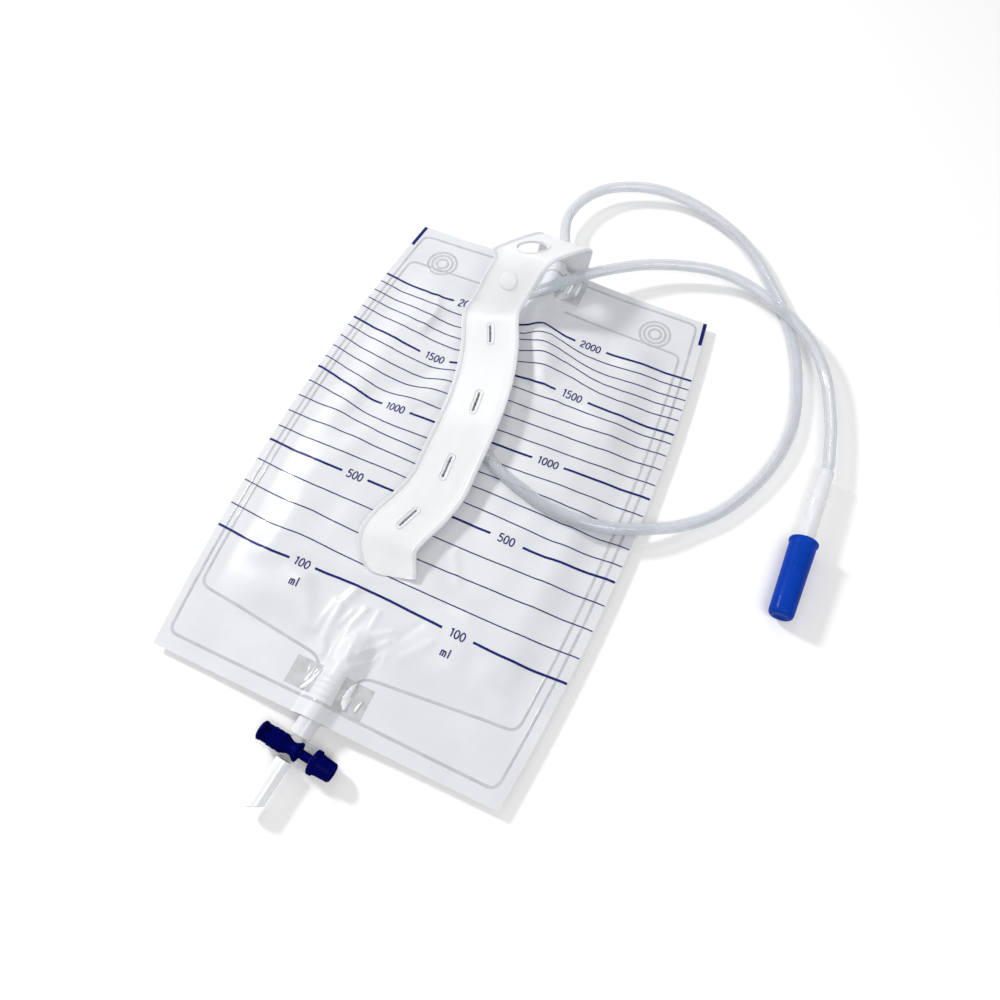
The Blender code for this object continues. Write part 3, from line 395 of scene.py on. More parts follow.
def slab(x, y, top, bottom):
    """A grid of points at two heights, joined by a rim."""
    grid = np.arange(x.size).reshape(x.shape)
    rim = np.concatenate([grid[0], grid[1:, -1], grid[-1, -2::-1], grid[-2:0:-1, 0]])
    after = np.roll(rim, -1)
    faces = lattice(*x.shape).tolist() + lattice(*x.shape, first=x.size)[:, ::-1].tolist()
    faces += np.stack([rim, rim + x.size, after + x.size, after], axis=1).tolist()
    return np.vstack([np.stack([x, y, z], axis=2).reshape(-1, 3) for z in (top, bottom)]), faces


def turned(profile, segments=72, axis="X"):
    """A closed profile of (along, radius) millimetres turned about an axis.

    Each point becomes a ring of along, radius * cos, radius * sin. A point on the axis becomes a
    single pole, and the line between two poles adds no faces.
    """
    pts = np.array(profile, dtype=float) * MM
    angles = full_turn(segments)
    along = np.repeat(pts[:, :1], segments, axis=1)
    side, up = pts[:, 1:] * np.cos(angles), pts[:, 1:] * np.sin(angles)
    rings = np.stack((along, side, up) if axis == "X" else (side, along, up), axis=2)
    index = np.arange(len(pts) * segments).reshape(len(pts), segments)
    pole = pts[:, 1] == 0
    index[pole] = index[pole, :1]
    used, index = np.unique(index, return_inverse=True)
    corners = index.reshape(-1)[lattice(len(pts), segments, True, True)].tolist()
    faces = [list(dict.fromkeys(face)) for face in corners]
    return rings.reshape(-1, 3)[used], [face for face in faces if len(face) > 2]


def softened(corners, radius, steps=3, reach=0.4, closed=True):
    """Corners of a path or profile rounded: each curve starts the radius before its corner.

    It starts no further back than the reach, a part of the side. The points of a closed profile
    on its axis stay, and so do the ends of an open path.
    """
    pts = np.array(corners, dtype=float)
    stays = pts[:, 1] == 0 if closed else np.isin(range(len(pts)), (0, len(pts) - 1))
    out = []
    for i, point in enumerate(pts):
        if stays[i]:
            out.append(point)
            continue
        cut_in, cut_out = (
            point + side * min(radius / max(np.linalg.norm(side), 1e-9), reach)
            for side in (pts[i - 1] - point, pts[(i + 1) % len(pts)] - point))
        for t in np.linspace(0, 1, steps + 1):
            out.append((1 - t)**2 * cut_in + 2 * t * (1 - t) * point + t * t * cut_out)
    return np.array(out)


def placed(shape, spot, yaw=0.0):
    """A shape turned in plan and moved to its spot on the bag."""
    points, faces = shape
    c, s = math.cos(yaw), math.sin(yaw)
    return points @ np.array([[c, s, 0], [-s, c, 0], [0, 0, 1]]) + spot, faces


# The films' surface

def half_width(y):
    """END_HALF_WIDTH + SIDE_BULGE * (1 - (distance from the middle / HALF_LENGTH)^2)."""
    return END_HALF_WIDTH + SIDE_BULGE * (1 - ((y - FILM_MIDDLE[1]) / HALF_LENGTH) ** 2)


def from_side(x, y):
    """Distance from the nearer side of the film."""
    return half_width(y) - abs(x - FILM_MIDDLE[0])


def from_end(y):
    """Distance from the nearer end of the film."""
    return HALF_LENGTH - abs(y - FILM_MIDDLE[1])


def port_line(y):
    """Where the ports' line runs across the bag: it slants at the drain, as the valve does."""
    slant = -(y - DRAIN[1]) * math.tan(DRAIN_YAW) * smooth_step((-y - 60 * MM) / (50 * MM))
    return np.where(y < 0, DRAIN[0] + slant, INLET[0])


def port_height(y):
    """Height of the middle of the nearer port."""
    return np.where(y < 0, DRAIN[2], INLET[2])


def seam_height(x, y):
    """Height of the seam: near each end it rises to the port in a bell across the port's line."""
    near_end = 1 - smooth_step((from_end(y) / HALF_LENGTH - 0.1) / 0.4)
    bell = np.exp(-((x - port_line(y)) / (42 * MM)) ** 2)
    return SEAM + (port_height(y) - SEAM) * near_end * bell


def pillow(x, y):
    """0 on the welds, 1 on the flat of the bag."""
    side = from_side(x, y) - SIDE_WELD
    end = from_end(y) - np.where(y < 0, DRAIN_WELD, INLET_WELD)
    return smooth_step(side / RISE) * smooth_step(end / RISE)


def tunnel_height(x, y):
    """Half height of the tunnel round a port: its ribbed circle, and a tangent to each side."""
    radius = np.where(y < 0, 6.4 * MM, 4.9 * MM)
    ribs = sum(np.exp(-((y - DRAIN[1] - rib) / (0.8 * MM)) ** 2) for rib in DRAIN_RIBS)
    radius = radius + 0.55 * MM * ribs
    foot = 1.6 * radius
    off = abs(x - port_line(y))
    arc = np.sqrt(np.maximum(radius**2 - off**2, 0))
    slope = np.maximum((foot - off) * radius / np.sqrt(foot**2 - radius**2), 0)
    reach = np.where(y < 0, 38.7 * MM, 32.8 * MM)
    past_port = (from_end(y) - reach) / (20 * MM)
    return np.where(off < radius**2 / foot, arc, slope) * (1 - smooth_step(past_port))


def film_base(x, y):
    """Outer face of the front film as the solid has it, with its creases rounded."""
    seam = seam_height(x, y)
    tunnel = tunnel_height(x, y)
    flat = seam + (CROWN - seam) * pillow(x, y)
    raised = smooth_max(flat, port_height(y) + tunnel, 1.2 * MM)
    return np.where(tunnel > 0, raised, flat) + 0.55 * MM


def fold_sum(x, y):
    """Each fold is height * exp(-(along / half length)^2 - (across / half width)^2)."""
    total = np.zeros_like(x)
    for cx, cy, turn, length, width, height in FOLDS:
        c, s = math.cos(math.radians(turn)), math.sin(math.radians(turn))
        dx, dy = x / MM - cx, y / MM - cy
        bend = 0.012 * (dx * c + dy * s) ** 2 / width
        along, across = (dx * c + dy * s) / length, (dy * c - dx * s + bend) / width
        total += height * MM * np.exp(-along**2 - across**2)
    return total


def crease_sum(x, y):
    """Each crease is height * exp(-(distance to its line / half width)^2)."""
    total = np.zeros_like(x)
    for width, height, line in CREASES:
        distance = np.full(x.shape, 1.0)
        for (ax, ay), (bx, by) in zip(line[:-1], line[1:]):
            dx, dy = (bx - ax) * MM, (by - ay) * MM
            along = ((x - ax * MM) * dx + (y - ay * MM) * dy) / (dx * dx + dy * dy)
            along = np.clip(along, 0, 1)
            distance = np.minimum(distance, np.hypot(x - ax * MM - along * dx,
                                                     y - ay * MM - along * dy))
        total += height * MM * np.exp(-(distance / (width * MM)) ** 2)
    return total


def crumple(x, y):
    """Slack in the film: a sum of long bent waves in seeded directions."""
    waves = np.random.default_rng(11)
    total = np.zeros_like(x)
    for _ in range(16):
        turn, length, phase = waves.uniform(0, math.pi), waves.uniform(14, 60), waves.uniform(0, 6.3)
        swing = waves.uniform(0, 6.3)
        run = (x * math.cos(turn) + y * math.sin(turn)) / MM
        cross = (y * math.cos(turn) - x * math.sin(turn)) / MM
        total += np.cos(2 * math.pi * run / length + phase
                        + 1.8 * np.sin(cross / 31 + swing)) * length / 60
    return total * 0.14 * MM


def under_tube(x, y, height):
    """The film keeps clear of the tube that lies on it: height of the tube's lower side."""
    route = resample(spline(TUBE_ROUTE, 6) * MM, 3 * MM)
    route = route[(abs(route[:, 0]) < 112 * MM) & (abs(route[:, 1]) < HALF_LENGTH)]
    limit = np.full(x.shape, 1.0)
    for px, py, pz in route:
        away = np.hypot(x - px, y - py)
        reach = TUBE_RADIUS * 1.5
        lower = pz - np.sqrt(np.maximum(TUBE_RADIUS**2 - away**2, 0)) - 0.3 * MM
        limit = np.where(away < reach, np.minimum(limit, lower), limit)
    return np.minimum(height, limit)


def film_top(x, y):
    """Outer face of the front film with folds, creases and slack between its welds."""
    base = film_base(x, y)
    free = pillow(x, y)
    depth = bpy.context.scene.bag_film.fold_depth
    loose = smooth_step((from_end(y) - 20 * MM) / (14 * MM))
    moved = base + depth * (fold_sum(x, y) * free + crumple(x, y) * (0.2 + 0.8 * free)
                            + crease_sum(x, y) * loose)
    return np.maximum(under_tube(x, y, moved), 4.9 * MM)


def print_drift(x, y):
    """How far the print has shifted along the bag: the table read between its rows and columns."""
    rows = np.array([np.interp(x / MM, DRIFT_X, row) for row in DRIFT])
    level = np.clip(np.interp(y / MM, DRIFT_Y, range(len(DRIFT_Y))), 0, len(DRIFT_Y) - 1.001)
    low = level.astype(int)
    part = level - low
    spot = np.arange(len(x))
    return (rows[low, spot] * (1 - part) + rows[low + 1, spot] * part) * MM / 10


def ribbon(path, width, lift, height, arch=False):
    """A flat or arched strip that follows the film under a path in plan.

    Each point has a ring of points across the path: offset w * cos, height h * sin above the film.
    """
    path = np.asarray(path, dtype=float)
    closed = np.allclose(path[0], path[-1])
    if closed:
        path = path[:-1]
        ahead = unit(np.roll(path, -1, axis=0) - np.roll(path, 1, axis=0))
    else:
        ahead = unit(np.gradient(path, axis=0))
    normal = np.column_stack([-ahead[:, 1], ahead[:, 0]])
    section = [(1, 0), (1, 1), (-1, 1), (-1, 0)]
    if arch:
        section = [(math.cos(a), math.sin(a)) for a in np.linspace(0, math.pi, 7)]
        section += [(-0.5, -0.4), (0.5, -0.4)]
    rings = []
    for side, up in section:
        plan = path + normal * (side * np.broadcast_to(width, len(path)) / 2)[:, None]
        level = film_top(plan[:, 0], plan[:, 1]) + lift + up * height
        rings.append(np.column_stack([plan, level]))
    return swept(np.stack(rings, axis=1), close_path=closed)


# Shader building

class Amount:
    """A shader value. Arithmetic on it adds Math nodes."""

    def __init__(self, finish, socket):
        self.finish, self.socket = finish, socket

    def maths(self, operation, *values):
        node = self.finish.node("Math", {"operation": operation}, dict(enumerate(values)))
        return Amount(self.finish, node.outputs[0])

    def __add__(self, other):
        return self.maths("ADD", self, other)

    def __mul__(self, other):
        return self.maths("MULTIPLY", self, other)

    def most(self, other):
        return self.maths("MAXIMUM", self, other)

    __radd__ = __add__
    __rmul__ = __mul__

    def ramp(self, low, high, out_low=0.0, out_high=1.0):
        """Smooth change from one value to another as this one goes from low to high."""
        node = self.finish.node("MapRange", {"interpolation_type": "SMOOTHSTEP"},
                                {0: self, 1: low, 2: high, 3: out_low, 4: out_high})
        return Amount(self.finish, node.outputs[0])


class Shading:
    """Nodes of one material or world."""

    def __init__(self, owner):
        owner.use_nodes = True
        self.nodes = owner.node_tree.nodes
        self.links = owner.node_tree.links

    def node(self, kind, settings=None, inputs=None):
        made = self.nodes.new("ShaderNode" + kind)
        for key, value in (settings or {}).items():
            setattr(made, key, value)
        for key, value in (inputs or {}).items():
            self.feed(made.inputs[key], value)
        return made

    def feed(self, socket, value):
        if isinstance(value, Amount):
            value = value.socket
        if isinstance(value, bpy.types.NodeSocket):
            self.links.new(value, socket)
        elif hasattr(value, "__len__") and len(value) == 3 and socket.type == "RGBA":
            socket.default_value = (*value, 1.0)
        else:
            socket.default_value = value

    def seen(self):
        """1 for what the camera sees, directly, mirrored or through glass, and 0 for light."""
        rays = self.node("LightPath").outputs
        camera, glossy, through = (Amount(self, rays[f"Is {kind} Ray"])
                                   for kind in ("Camera", "Glossy", "Transmission"))
        return camera.most(glossy).most(through)


class Finish(Shading):
    """One material: a Principled shader and the nodes that feed it."""

    def __init__(self, name, **plain):
        self.material = bpy.data.materials.new(name)
        super().__init__(self.material)
        self.shader = self.nodes["Principled BSDF"]
        self.place = self.node("TexCoord").outputs["Object"]
        for key, value in plain.items():
            self.set(key.replace("_", " ").title().replace("Ior", "IOR"), value)

    def set(self, key, value):
        self.feed(self.shader.inputs[key], value)

    def noise(self, scale, detail=2.0, stretch=(1, 1, 1)):
        place = self.node("Mapping", None, {0: self.place, 3: stretch}).outputs[0]
        made = self.node("TexNoise", None, {"Vector": place, "Scale": scale, "Detail": detail})
        return Amount(self, made.outputs[0])

    def blend(self, factor, first, second):
        made = self.node("Mix", {"data_type": "RGBA"}, {0: factor, 6: first, 7: second})
        return made.outputs[2]

    def bump(self, height, distance, strength):
        made = self.node("Bump", None,
                         {"Height": height, "Distance": distance, "Strength": strength})
        self.set("Normal", made.outputs[0])

    def edge(self):
        """How far a surface turns away from whoever looks at it, for clear plastic."""
        return Amount(self, self.node("LayerWeight", None, {0: 0.35}).outputs["Facing"])


def shade(colour, amount):
    """A colour with each channel times the amount."""
    return tuple(channel * amount for channel in colour)


def plastic(name, colour, patches, shades, roughness, bumps, depth, strength,
            spread=(0.3, 0.7), **plain):
    """A plastic with patches of noise in its colour and roughness, and bumps on its face.

    Patches is the scale, detail and stretch of a noise; each bump puts its weight before them.
    Over the spread of the patches' noise the colour goes from the first shade to the second.
    """
    made = Finish(name, **plain)
    patch = made.noise(*patches)
    first, second = (shade(colour, amount) for amount in shades)
    made.set("Base Color", made.blend(patch.ramp(*spread), first, second))
    made.set("Roughness", patch.ramp(0.3, 0.7, *roughness))
    height = sum(made.noise(*noise) * weight for weight, *noise in bumps)
    made.bump(height, depth * MM, strength)
    return made.material


def film_finish(name, colour, opacity):
    """Soft translucent film: cloudy tint, satin patches, a fine leathery emboss."""
    return plastic(name, colour, (38, 3), (0.95, 1), (0.42, 0.54),
                   bumps=((0.5, 1500, 2), (1, 150, 3)), depth=0.1, strength=0.4,
                   spread=(0.35, 0.7), alpha=opacity, coat_weight=0.3, coat_roughness=0.16,
                   specular_ior_level=0.4)


def weld_finish(colour):
    """Fused film in the weld lines: clearer and smoother than the film, and darker, partly as painted
    shade of the pressed groove.
    """
    return plastic("weld_line", colour, (120, 2), (0.68, 0.80), (0.14, 0.24),
                   bumps=((1, 500, 2),), depth=0.1, strength=0.4,
                   alpha=0.62, coat_weight=0.6, coat_roughness=0.08)


def pad_finish(colour):
    """Clear pressed patches beside the ports, grey against the milky film."""
    return plastic("weld_pad", colour, (160, 3), (0.64, 0.76), (0.08, 0.2),
                   bumps=((1, 300, 2),), depth=0.25, strength=0.6, spread=(0.35, 0.65),
                   alpha=0.86, coat_weight=0.8, coat_roughness=0.06)


def ink_finish(colour):
    """Printed ink: a little uneven in strength, satin."""
    return plastic("printed_ink", colour, (240, 4), (1, 1.7), (0.35, 0.5),
                   bumps=((1, 1500, 2),), depth=0.03, strength=0.4, spread=(0.45, 0.75),
                   specular_ior_level=0.15)


def strap_finish(name, colour):
    """Milky moulded strap: faint flow lines along it, soft waves and a satin grain."""
    return plastic(name, colour, (60, 3, (1, 0.25, 1)), (0.95, 1), (0.3, 0.42),
                   bumps=((0.06, 1200, 2), (1, 75, 1, (1, 0.6, 1))), depth=1.0, strength=0.5,
                   alpha=0.9, coat_weight=0.3, coat_roughness=0.15, subsurface_weight=0.5,
                   subsurface_scale=3 * MM, subsurface_radius=(1.0, 1.0, 1.0))


def gloss_finish(name, colour, coat, specular):
    """Gloss moulded plastic: soft mould marks, slight colour change, fine scuffs."""
    return plastic(name, colour, (70, 3), (1, 1.35), (0.3, 0.4),
                   bumps=((0.4, 900, 3), (1, 120, 2)), depth=0.08, strength=0.5,
                   spread=(0.3, 0.75), coat_weight=coat, coat_roughness=0.08,
                   specular_ior_level=specular)


def clear_finish(name, colour, opacity, edge_opacity, roughness, painted_edge_shade=0.66, start=0.1):
    """Clear tube or moulding: thin to look through, denser where its wall turns away, where its
    colour also darkens as painted edge shade.
    """
    clear = Finish(name, coat_weight=0.9, coat_roughness=0.04, ior=1.52)
    haze = clear.noise(90, 2)
    tint = clear.blend(haze.ramp(0.3, 0.7), shade(colour, 0.95), colour)
    edge = clear.edge()
    # Painted edge shade: the colour darkens where the wall turns away from the view.
    clear.set("Base Color", clear.blend(edge.ramp(0.2, 0.7), tint, shade(colour, painted_edge_shade)))
    clear.set("Roughness", haze.ramp(0.3, 0.7, roughness, roughness + 0.06))
    clear.set("Alpha", edge.ramp(start, start + 0.5, opacity, edge_opacity))
    clear.bump(clear.noise(160, 2), 0.12 * MM, 0.3)
    return clear.material


# Settings

def colour_property(name, description, default):
    return FloatVectorProperty(name=name, description=description, default=default,
                               subtype="COLOR", size=3, min=0, max=1)


def number_property(name, description, default, low=0, **more):
    return FloatProperty(name=name, description=description, default=default, min=low, **more)


def length_property(name, description, default):
    return number_property(name, description, default, unit="LENGTH", subtype="DISTANCE")


class BagFilmSettings(bpy.types.PropertyGroup):
    """Sizes and colours of the two films and their welds."""
    colour: colour_property("Film colour", "Tint of the soft film", (0.79, 0.81, 0.835))
    opacity: number_property("Opacity", "How milky each film is", 0.88, max=1, subtype="FACTOR")
    thickness: length_property("Film thickness", "Thickness of each film", 0.25 * MM)
    fold_depth: number_property("Fold depth", "Depth of the folds and creases", 1.0, max=2,
                                subtype="FACTOR")
    bead_width: length_property("Weld width", "Width of a weld line", 1.6 * MM)
    bead_height: length_property("Weld height", "Height of a weld line", 0.14 * MM)


class BagPrintSettings(bpy.types.PropertyGroup):
    """Sizes and colour of the printed scale."""
    colour: colour_property("Ink colour", "Colour of the print", (0.004, 0.007, 0.12))
    fine_width: length_property("Fine line", "Width of the fine graduations", 0.62 * MM)
    bold_width: length_property("Bold line", "Width of the bold graduations", 1.3 * MM)
    numeral_height: length_property("Numeral height", "Height of the numerals", 4.9 * MM)
    stroke_width: length_property("Stroke", "Width of the numerals' strokes", 0.68 * MM)


class BagStrapSettings(bpy.types.PropertyGroup):
    """Sizes and colour of the hanger strap."""
    colour: colour_property("Strap colour", "Colour of the strap", (0.945, 0.965, 1.0))
    width: length_property("Strap width", "Width across the rims", 35 * MM)
    rim: length_property("Rim thickness", "Thickness of the rolled rims", 1.7 * MM)
    plate: length_property("Plate thickness", "Thickness between the rims", 1.0 * MM)


class BagTubeSettings(bpy.types.PropertyGroup):
    """Colours of the tubes, ports and mouldings."""
    clear: colour_property("Clear plastic", "Tint of the tubes", (0.76, 0.80, 0.86))
    frosted: colour_property("Frosted plastic", "Tint of ports and connector", (0.95, 0.965, 1.0))
    cap: colour_property("Cap colour", "Colour of the connector's cap", (0.001, 0.035, 0.315))
    plunger: colour_property("Plunger colour", "Colour of the plunger", (0.0003, 0.0012, 0.072))


class BagStageSettings(bpy.types.PropertyGroup):
    """Light, floor and camera."""
    key: number_property("Key light", "Power of the key light", 14.5, unit="POWER")
    sheen: number_property("Sheen light", "Power of the light that the film mirrors", 1.2,
                           unit="POWER")
    fill: number_property("Fill light", "Power of the broad light in front", 9.0, unit="POWER")
    sky: number_property("Sky", "Strength of the even white surroundings", 0.42)
    floor: colour_property("Floor colour", "Colour of the floor", (0.93, 0.93, 0.93))
    floor_glow: number_property("Floor glow", "White added to the seen floor", 0.08)
    lens: number_property("Lens", "Focal length", 28.8, low=1, unit="CAMERA")


# Operators

class MakeStage(bpy.types.Operator):
    """Floor, lights and the photograph's camera"""
    bl_idname = "drainage_bag.make_stage"
    bl_label = "Make stage"

    def execute(self, context):
        look = context.scene.bag_stage
        context.scene.view_settings.view_transform = "Standard"
        self.make_camera(look)
        self.make_floor(look)
        self.make_light("key_light", (-1.42, 0.30, 1.0), 1.5, 0.22, look.key)
        self.make_light("sheen_light", (-0.26, 0.50, 0.9), 1.5, 0.25, look.sheen)
        self.make_light("fill_light", (0.40, -0.38, 0.92), 1.6, 1.0, look.fill)
        context.scene.world = self.make_sky(look)
        return {"FINISHED"}

    def make_sky(self, look):
        """Even light of the sky's strength, and plain white where it is seen or mirrored."""
        world = bpy.data.worlds.new("studio")
        sky = Shading(world)
        seen = sky.seen()
        sky.feed(sky.nodes["Background"].inputs["Color"], (1.0, 1.0, 1.0))
        sky.feed(sky.nodes["Background"].inputs["Strength"], seen * (1 - look.sky) + look.sky)
        return world

    def make_camera(self, look):
        """Camera rows are right, up and back, from the photograph's azimuth, height and roll."""
        turn, lift, roll = (math.radians(angle) for angle in CAMERA_ANGLES)
        ahead = -np.array([math.sin(turn) * math.cos(lift), -math.cos(turn) * math.cos(lift),
                           math.sin(lift)])
        right = np.cross(ahead, [0, 0, 1])
        right /= np.linalg.norm(right)
        down = np.cross(ahead, right)
        right, down = (math.cos(roll) * right + math.sin(roll) * down,
                       math.cos(roll) * down - math.sin(roll) * right)
        camera = linked("photo_camera", bpy.data.cameras.new("photo_camera"))
        camera.data.lens = look.lens
        camera.data.sensor_width = 36
        spot = CAMERA_TARGET - CAMERA_DISTANCE * ahead + HOME
        pose = np.eye(4)
        pose[:3, :4] = np.column_stack([right, -down, -ahead, spot])
        camera.matrix_world = Matrix(pose)
        bpy.context.scene.camera = camera

    def make_light(self, name, direction, distance, size, power):
        """A round lamp that aims at the lights' target."""
        light = bpy.data.lights.new(name, "AREA")
        light.shape = "DISK"
        light.size = size
        light.energy = power
        lamp = linked(name, light)
        aim = np.array(direction) / np.linalg.norm(direction)
        lamp.location = HOME + LIGHT_TARGET + aim * distance
        lamp.rotation_euler = Vector(aim).to_track_quat("Z", "Y").to_euler()

    def make_floor(self, look):
        """A wide sheet of paper just under the bag, a little brighter where it is seen."""
        mesh = bpy.data.meshes.new("floor")
        corners = np.array([(-1, -1, 0), (1, -1, 0), (1, 1, 0), (-1, 1, 0)]) * FLOOR_HALF
        mesh.from_pydata(corners + HOME - [0, 0, 0.02 * MM], [], [(0, 1, 2, 3)])
        floor = linked("floor", mesh)
        finish = Finish("floor_paper", base_color=tuple(look.floor), roughness=1.0,
                        specular_ior_level=0.0)
        glow = finish.node("Emission", None, {"Color": (1.0, 1.0, 1.0),
                                              "Strength": finish.seen() * look.floor_glow})
        both = finish.node("AddShader", None,
                           {0: finish.shader.outputs[0], 1: glow.outputs[0]})
        finish.links.new(both.outputs[0], finish.nodes["Material Output"].inputs[0])
        mesh.materials.append(finish.material)


class MakeFilms(bpy.types.Operator):
    """Front film with its folds and the flat back film"""
    bl_idname = "drainage_bag.make_films"
    bl_label = "Make films"

    def execute(self, context):
        look = context.scene.bag_film
        for name, node, across, along, surface in (
                ("front_film_skin", "bag_front_film", 176, 256, film_top),
                ("back_film_skin", "bag_back_film", 80, 120, self.back_face)):
            finish = film_finish(name, tuple(look.colour), look.opacity)
            shape = self.sheet(across, along, look.thickness, surface)
            piece(name, shape, finish, node, sharp=60)
        return {"FINISHED"}

    def back_face(self, x, y):
        """Inner face of the back film: the weld line's height, down to the floor between welds."""
        seam, part, tunnel = seam_height(x, y), pillow(x, y), tunnel_height(x, y)
        flat = seam + (0.4 * MM - seam) * part
        lowered = np.where(tunnel > 0, np.minimum(flat, port_height(y) - tunnel), flat)
        return np.maximum(lowered - 0.15 * MM, 0.4 * MM)

    def sheet(self, across, along, thickness, surface):
        """x = u * half_width(y), y = v * half length; two such faces a film apart, with a rim.

        The rows lie closer towards the drain, where the creases are finest.
        """
        u = np.linspace(-1, 1, across)
        v = np.interp(np.linspace(0, 1, along), (0, 0.22, 0.42, 1), (-1, -0.79, -0.56, 1))
        y = np.repeat((FILM_MIDDLE[1] + v * HALF_LENGTH)[:, None], across, axis=1)
        x = FILM_MIDDLE[0] + u[None, :] * half_width(y)
        near = surface(x, y)
        return slab(x, y, near, near - thickness)


class MakeWelds(bpy.types.Operator):
    """Weld beads, eyelet rings and the clear patches beside the ports"""
    bl_idname = "drainage_bag.make_welds"
    bl_label = "Make welds"

    def execute(self, context):
        look = context.scene.bag_film
        colour = tuple(look.colour)
        finish = weld_finish(colour)
        beads = {name: [self.weld_path(corners) for corners in lines]
                 for name, lines in WELD_LINES.items()}
        beads["eyelet_rings"] = [self.ring(*spot, radius) for spot in EYELETS
                                 for radius in EYELET_RADII]
        for name, paths in beads.items():
            shape = joined([ribbon(resample(path, 1.6 * MM), look.bead_width, 0, look.bead_height,
                                   arch=True) for path in paths])
            piece(name, shape, finish)
        piece("weld_pads", joined([self.patch(*pad) for pad in PADS]), pad_finish(colour))
        # The folds take the film finish 1.12 times lighter and fully opaque: a painted highlight that
        # makes them read white.
        piece("pad_folds_highlighted", joined([self.teardrop(*fold) for fold in PAD_FOLDS]),
              film_finish("pad_fold_painted_highlight", shade(colour, 1.12), 1.0))
        return {"FINISHED"}

    def teardrop(self, width, height, line):
        """A fold of film: width * s * sqrt(2 - s) grows along its line, s from 0 to 1, then shuts."""
        path = resample(spline(line, 8) * MM, 0.5 * MM)
        s = np.linspace(0.05, 1, len(path))
        swell = s * np.sqrt(2.02 - 2 * s) * 1.6
        return ribbon(path, width * MM * swell, 0.15 * MM, height * MM, arch=True)

    def weld_path(self, corners):
        """A rounded line that near the bag's sides runs an even distance inside its edge."""
        path = resample(softened(corners, 5, 6, reach=0.5, closed=False) * MM, 1.5 * MM)
        edge = half_width(path[:, 1]) - END_HALF_WIDTH
        near_side = smooth_step((abs(path[:, 0]) - 70 * MM) / (20 * MM))
        path[:, 0] += np.sign(path[:, 0]) * edge * near_side
        return path

    def ring(self, x, y, radius):
        """A circle that ends where it starts: x + r * cos, y + r * sin."""
        angles = np.linspace(0, 2 * math.pi, 61)
        return np.column_stack([x + radius * np.cos(angles), y + radius * np.sin(angles)])

    def patch(self, left, right, low, high):
        """A thin plate on the film with two teardrop creases, bells that narrow to one end."""
        u, v = np.meshgrid(np.linspace(-1, 1, 31), np.linspace(-1, 1, 31), indexing="ij")
        x = ((left + right) / 2 + (right - left) / 2 * u) * MM
        y = ((low + high) / 2 + (high - low) / 2 * v) * MM
        edge = smooth_step((1 - abs(u)) * 5) * smooth_step((1 - abs(v)) * 5)
        inward = -np.sign(left + right) * u
        crease = sum(np.exp(-((inward - at + 0.12 * v) / (0.10 + 0.05 * v)) ** 2 - (v / 0.6) ** 2)
                     for at in (0.25, 0.68))
        top = film_top(x, y) + (0.16 + 0.6 * crease * edge) * MM
        return slab(x, y, top, film_top(x, y) - 0.1 * MM)


class MakePrint(bpy.types.Operator):
    """Graduation lines, numerals, units and the marks at the top corners"""
    bl_idname = "drainage_bag.make_print"
    bl_label = "Make print"

    def execute(self, context):
        look = context.scene.bag_print
        strips = []
        for level in FINE_LINES:
            strips.append(self.line(-1, 1, level, look.fine_width))
        for value, level, left, right in BOLD_LINES:
            strips.append(self.line(-1, left[0], level, look.bold_width))
            strips.append(self.line(left[2], right[0], level, look.bold_width))
            strips.append(self.line(right[2], 1, level, look.bold_width))
            strips += self.text(value, left[1], level, look)
            strips += self.text(value, right[1], level, look)
        for x in (-46.0, 44.0):
            strips += self.text("ml", x, -99.5, look)
        for side in (-1, 1):
            edge = [(FILM_MIDDLE[0] + side * (half_width(y * MM) - 1.4 * MM), y * MM)
                    for y in np.linspace(136.5, 153.3, 18)]
            strips.append(ribbon(edge, 2.2 * MM, 0.05 * MM, 0.05 * MM))
        piece("printed_scale", joined(strips), ink_finish(tuple(look.colour)))
        return {"FINISHED"}

    def line(self, start, end, level, width):
        """A graduation from start to end in millimetres; -1 and 1 stand for the film's edges."""
        y = level * MM
        left, right = (FILM_MIDDLE[0] + side * (half_width(y) - 0.4 * MM) for side in (-1, 1))
        start = left if start == -1 else start * MM
        end = right if end == 1 else end * MM
        x = np.arange(start, end + 0.5 * MM, 1.2 * MM)
        x[-1] = end
        return self.strip(x, np.full_like(x, y), width)

    def strip(self, x, y, width):
        """Ink that follows the film along a line, moved by the print's drift."""
        drifted = y + print_drift(x, y)
        return ribbon(np.column_stack([x, drifted]), width, 0.15 * MM, 0.05 * MM)

    def text(self, word, middle, level, look):
        """Each stroke of each glyph as a strip, centred on its column."""
        height = look.numeral_height
        steps = [GLYPH_STEP.get(letter, 0.68) * height for letter in word]
        start = middle * MM - (sum(steps) - 0.12 * height) / 2
        strips = []
        for letter, step in zip(word, steps):
            for stroke in GLYPHS[letter]:
                points = resample(np.array(stroke, dtype=float) * height, 0.45 * MM)
                points += [start, level * MM - height / 2]
                strips.append(self.strip(points[:, 0], points[:, 1], look.stroke_width))
            start += step
        return strips


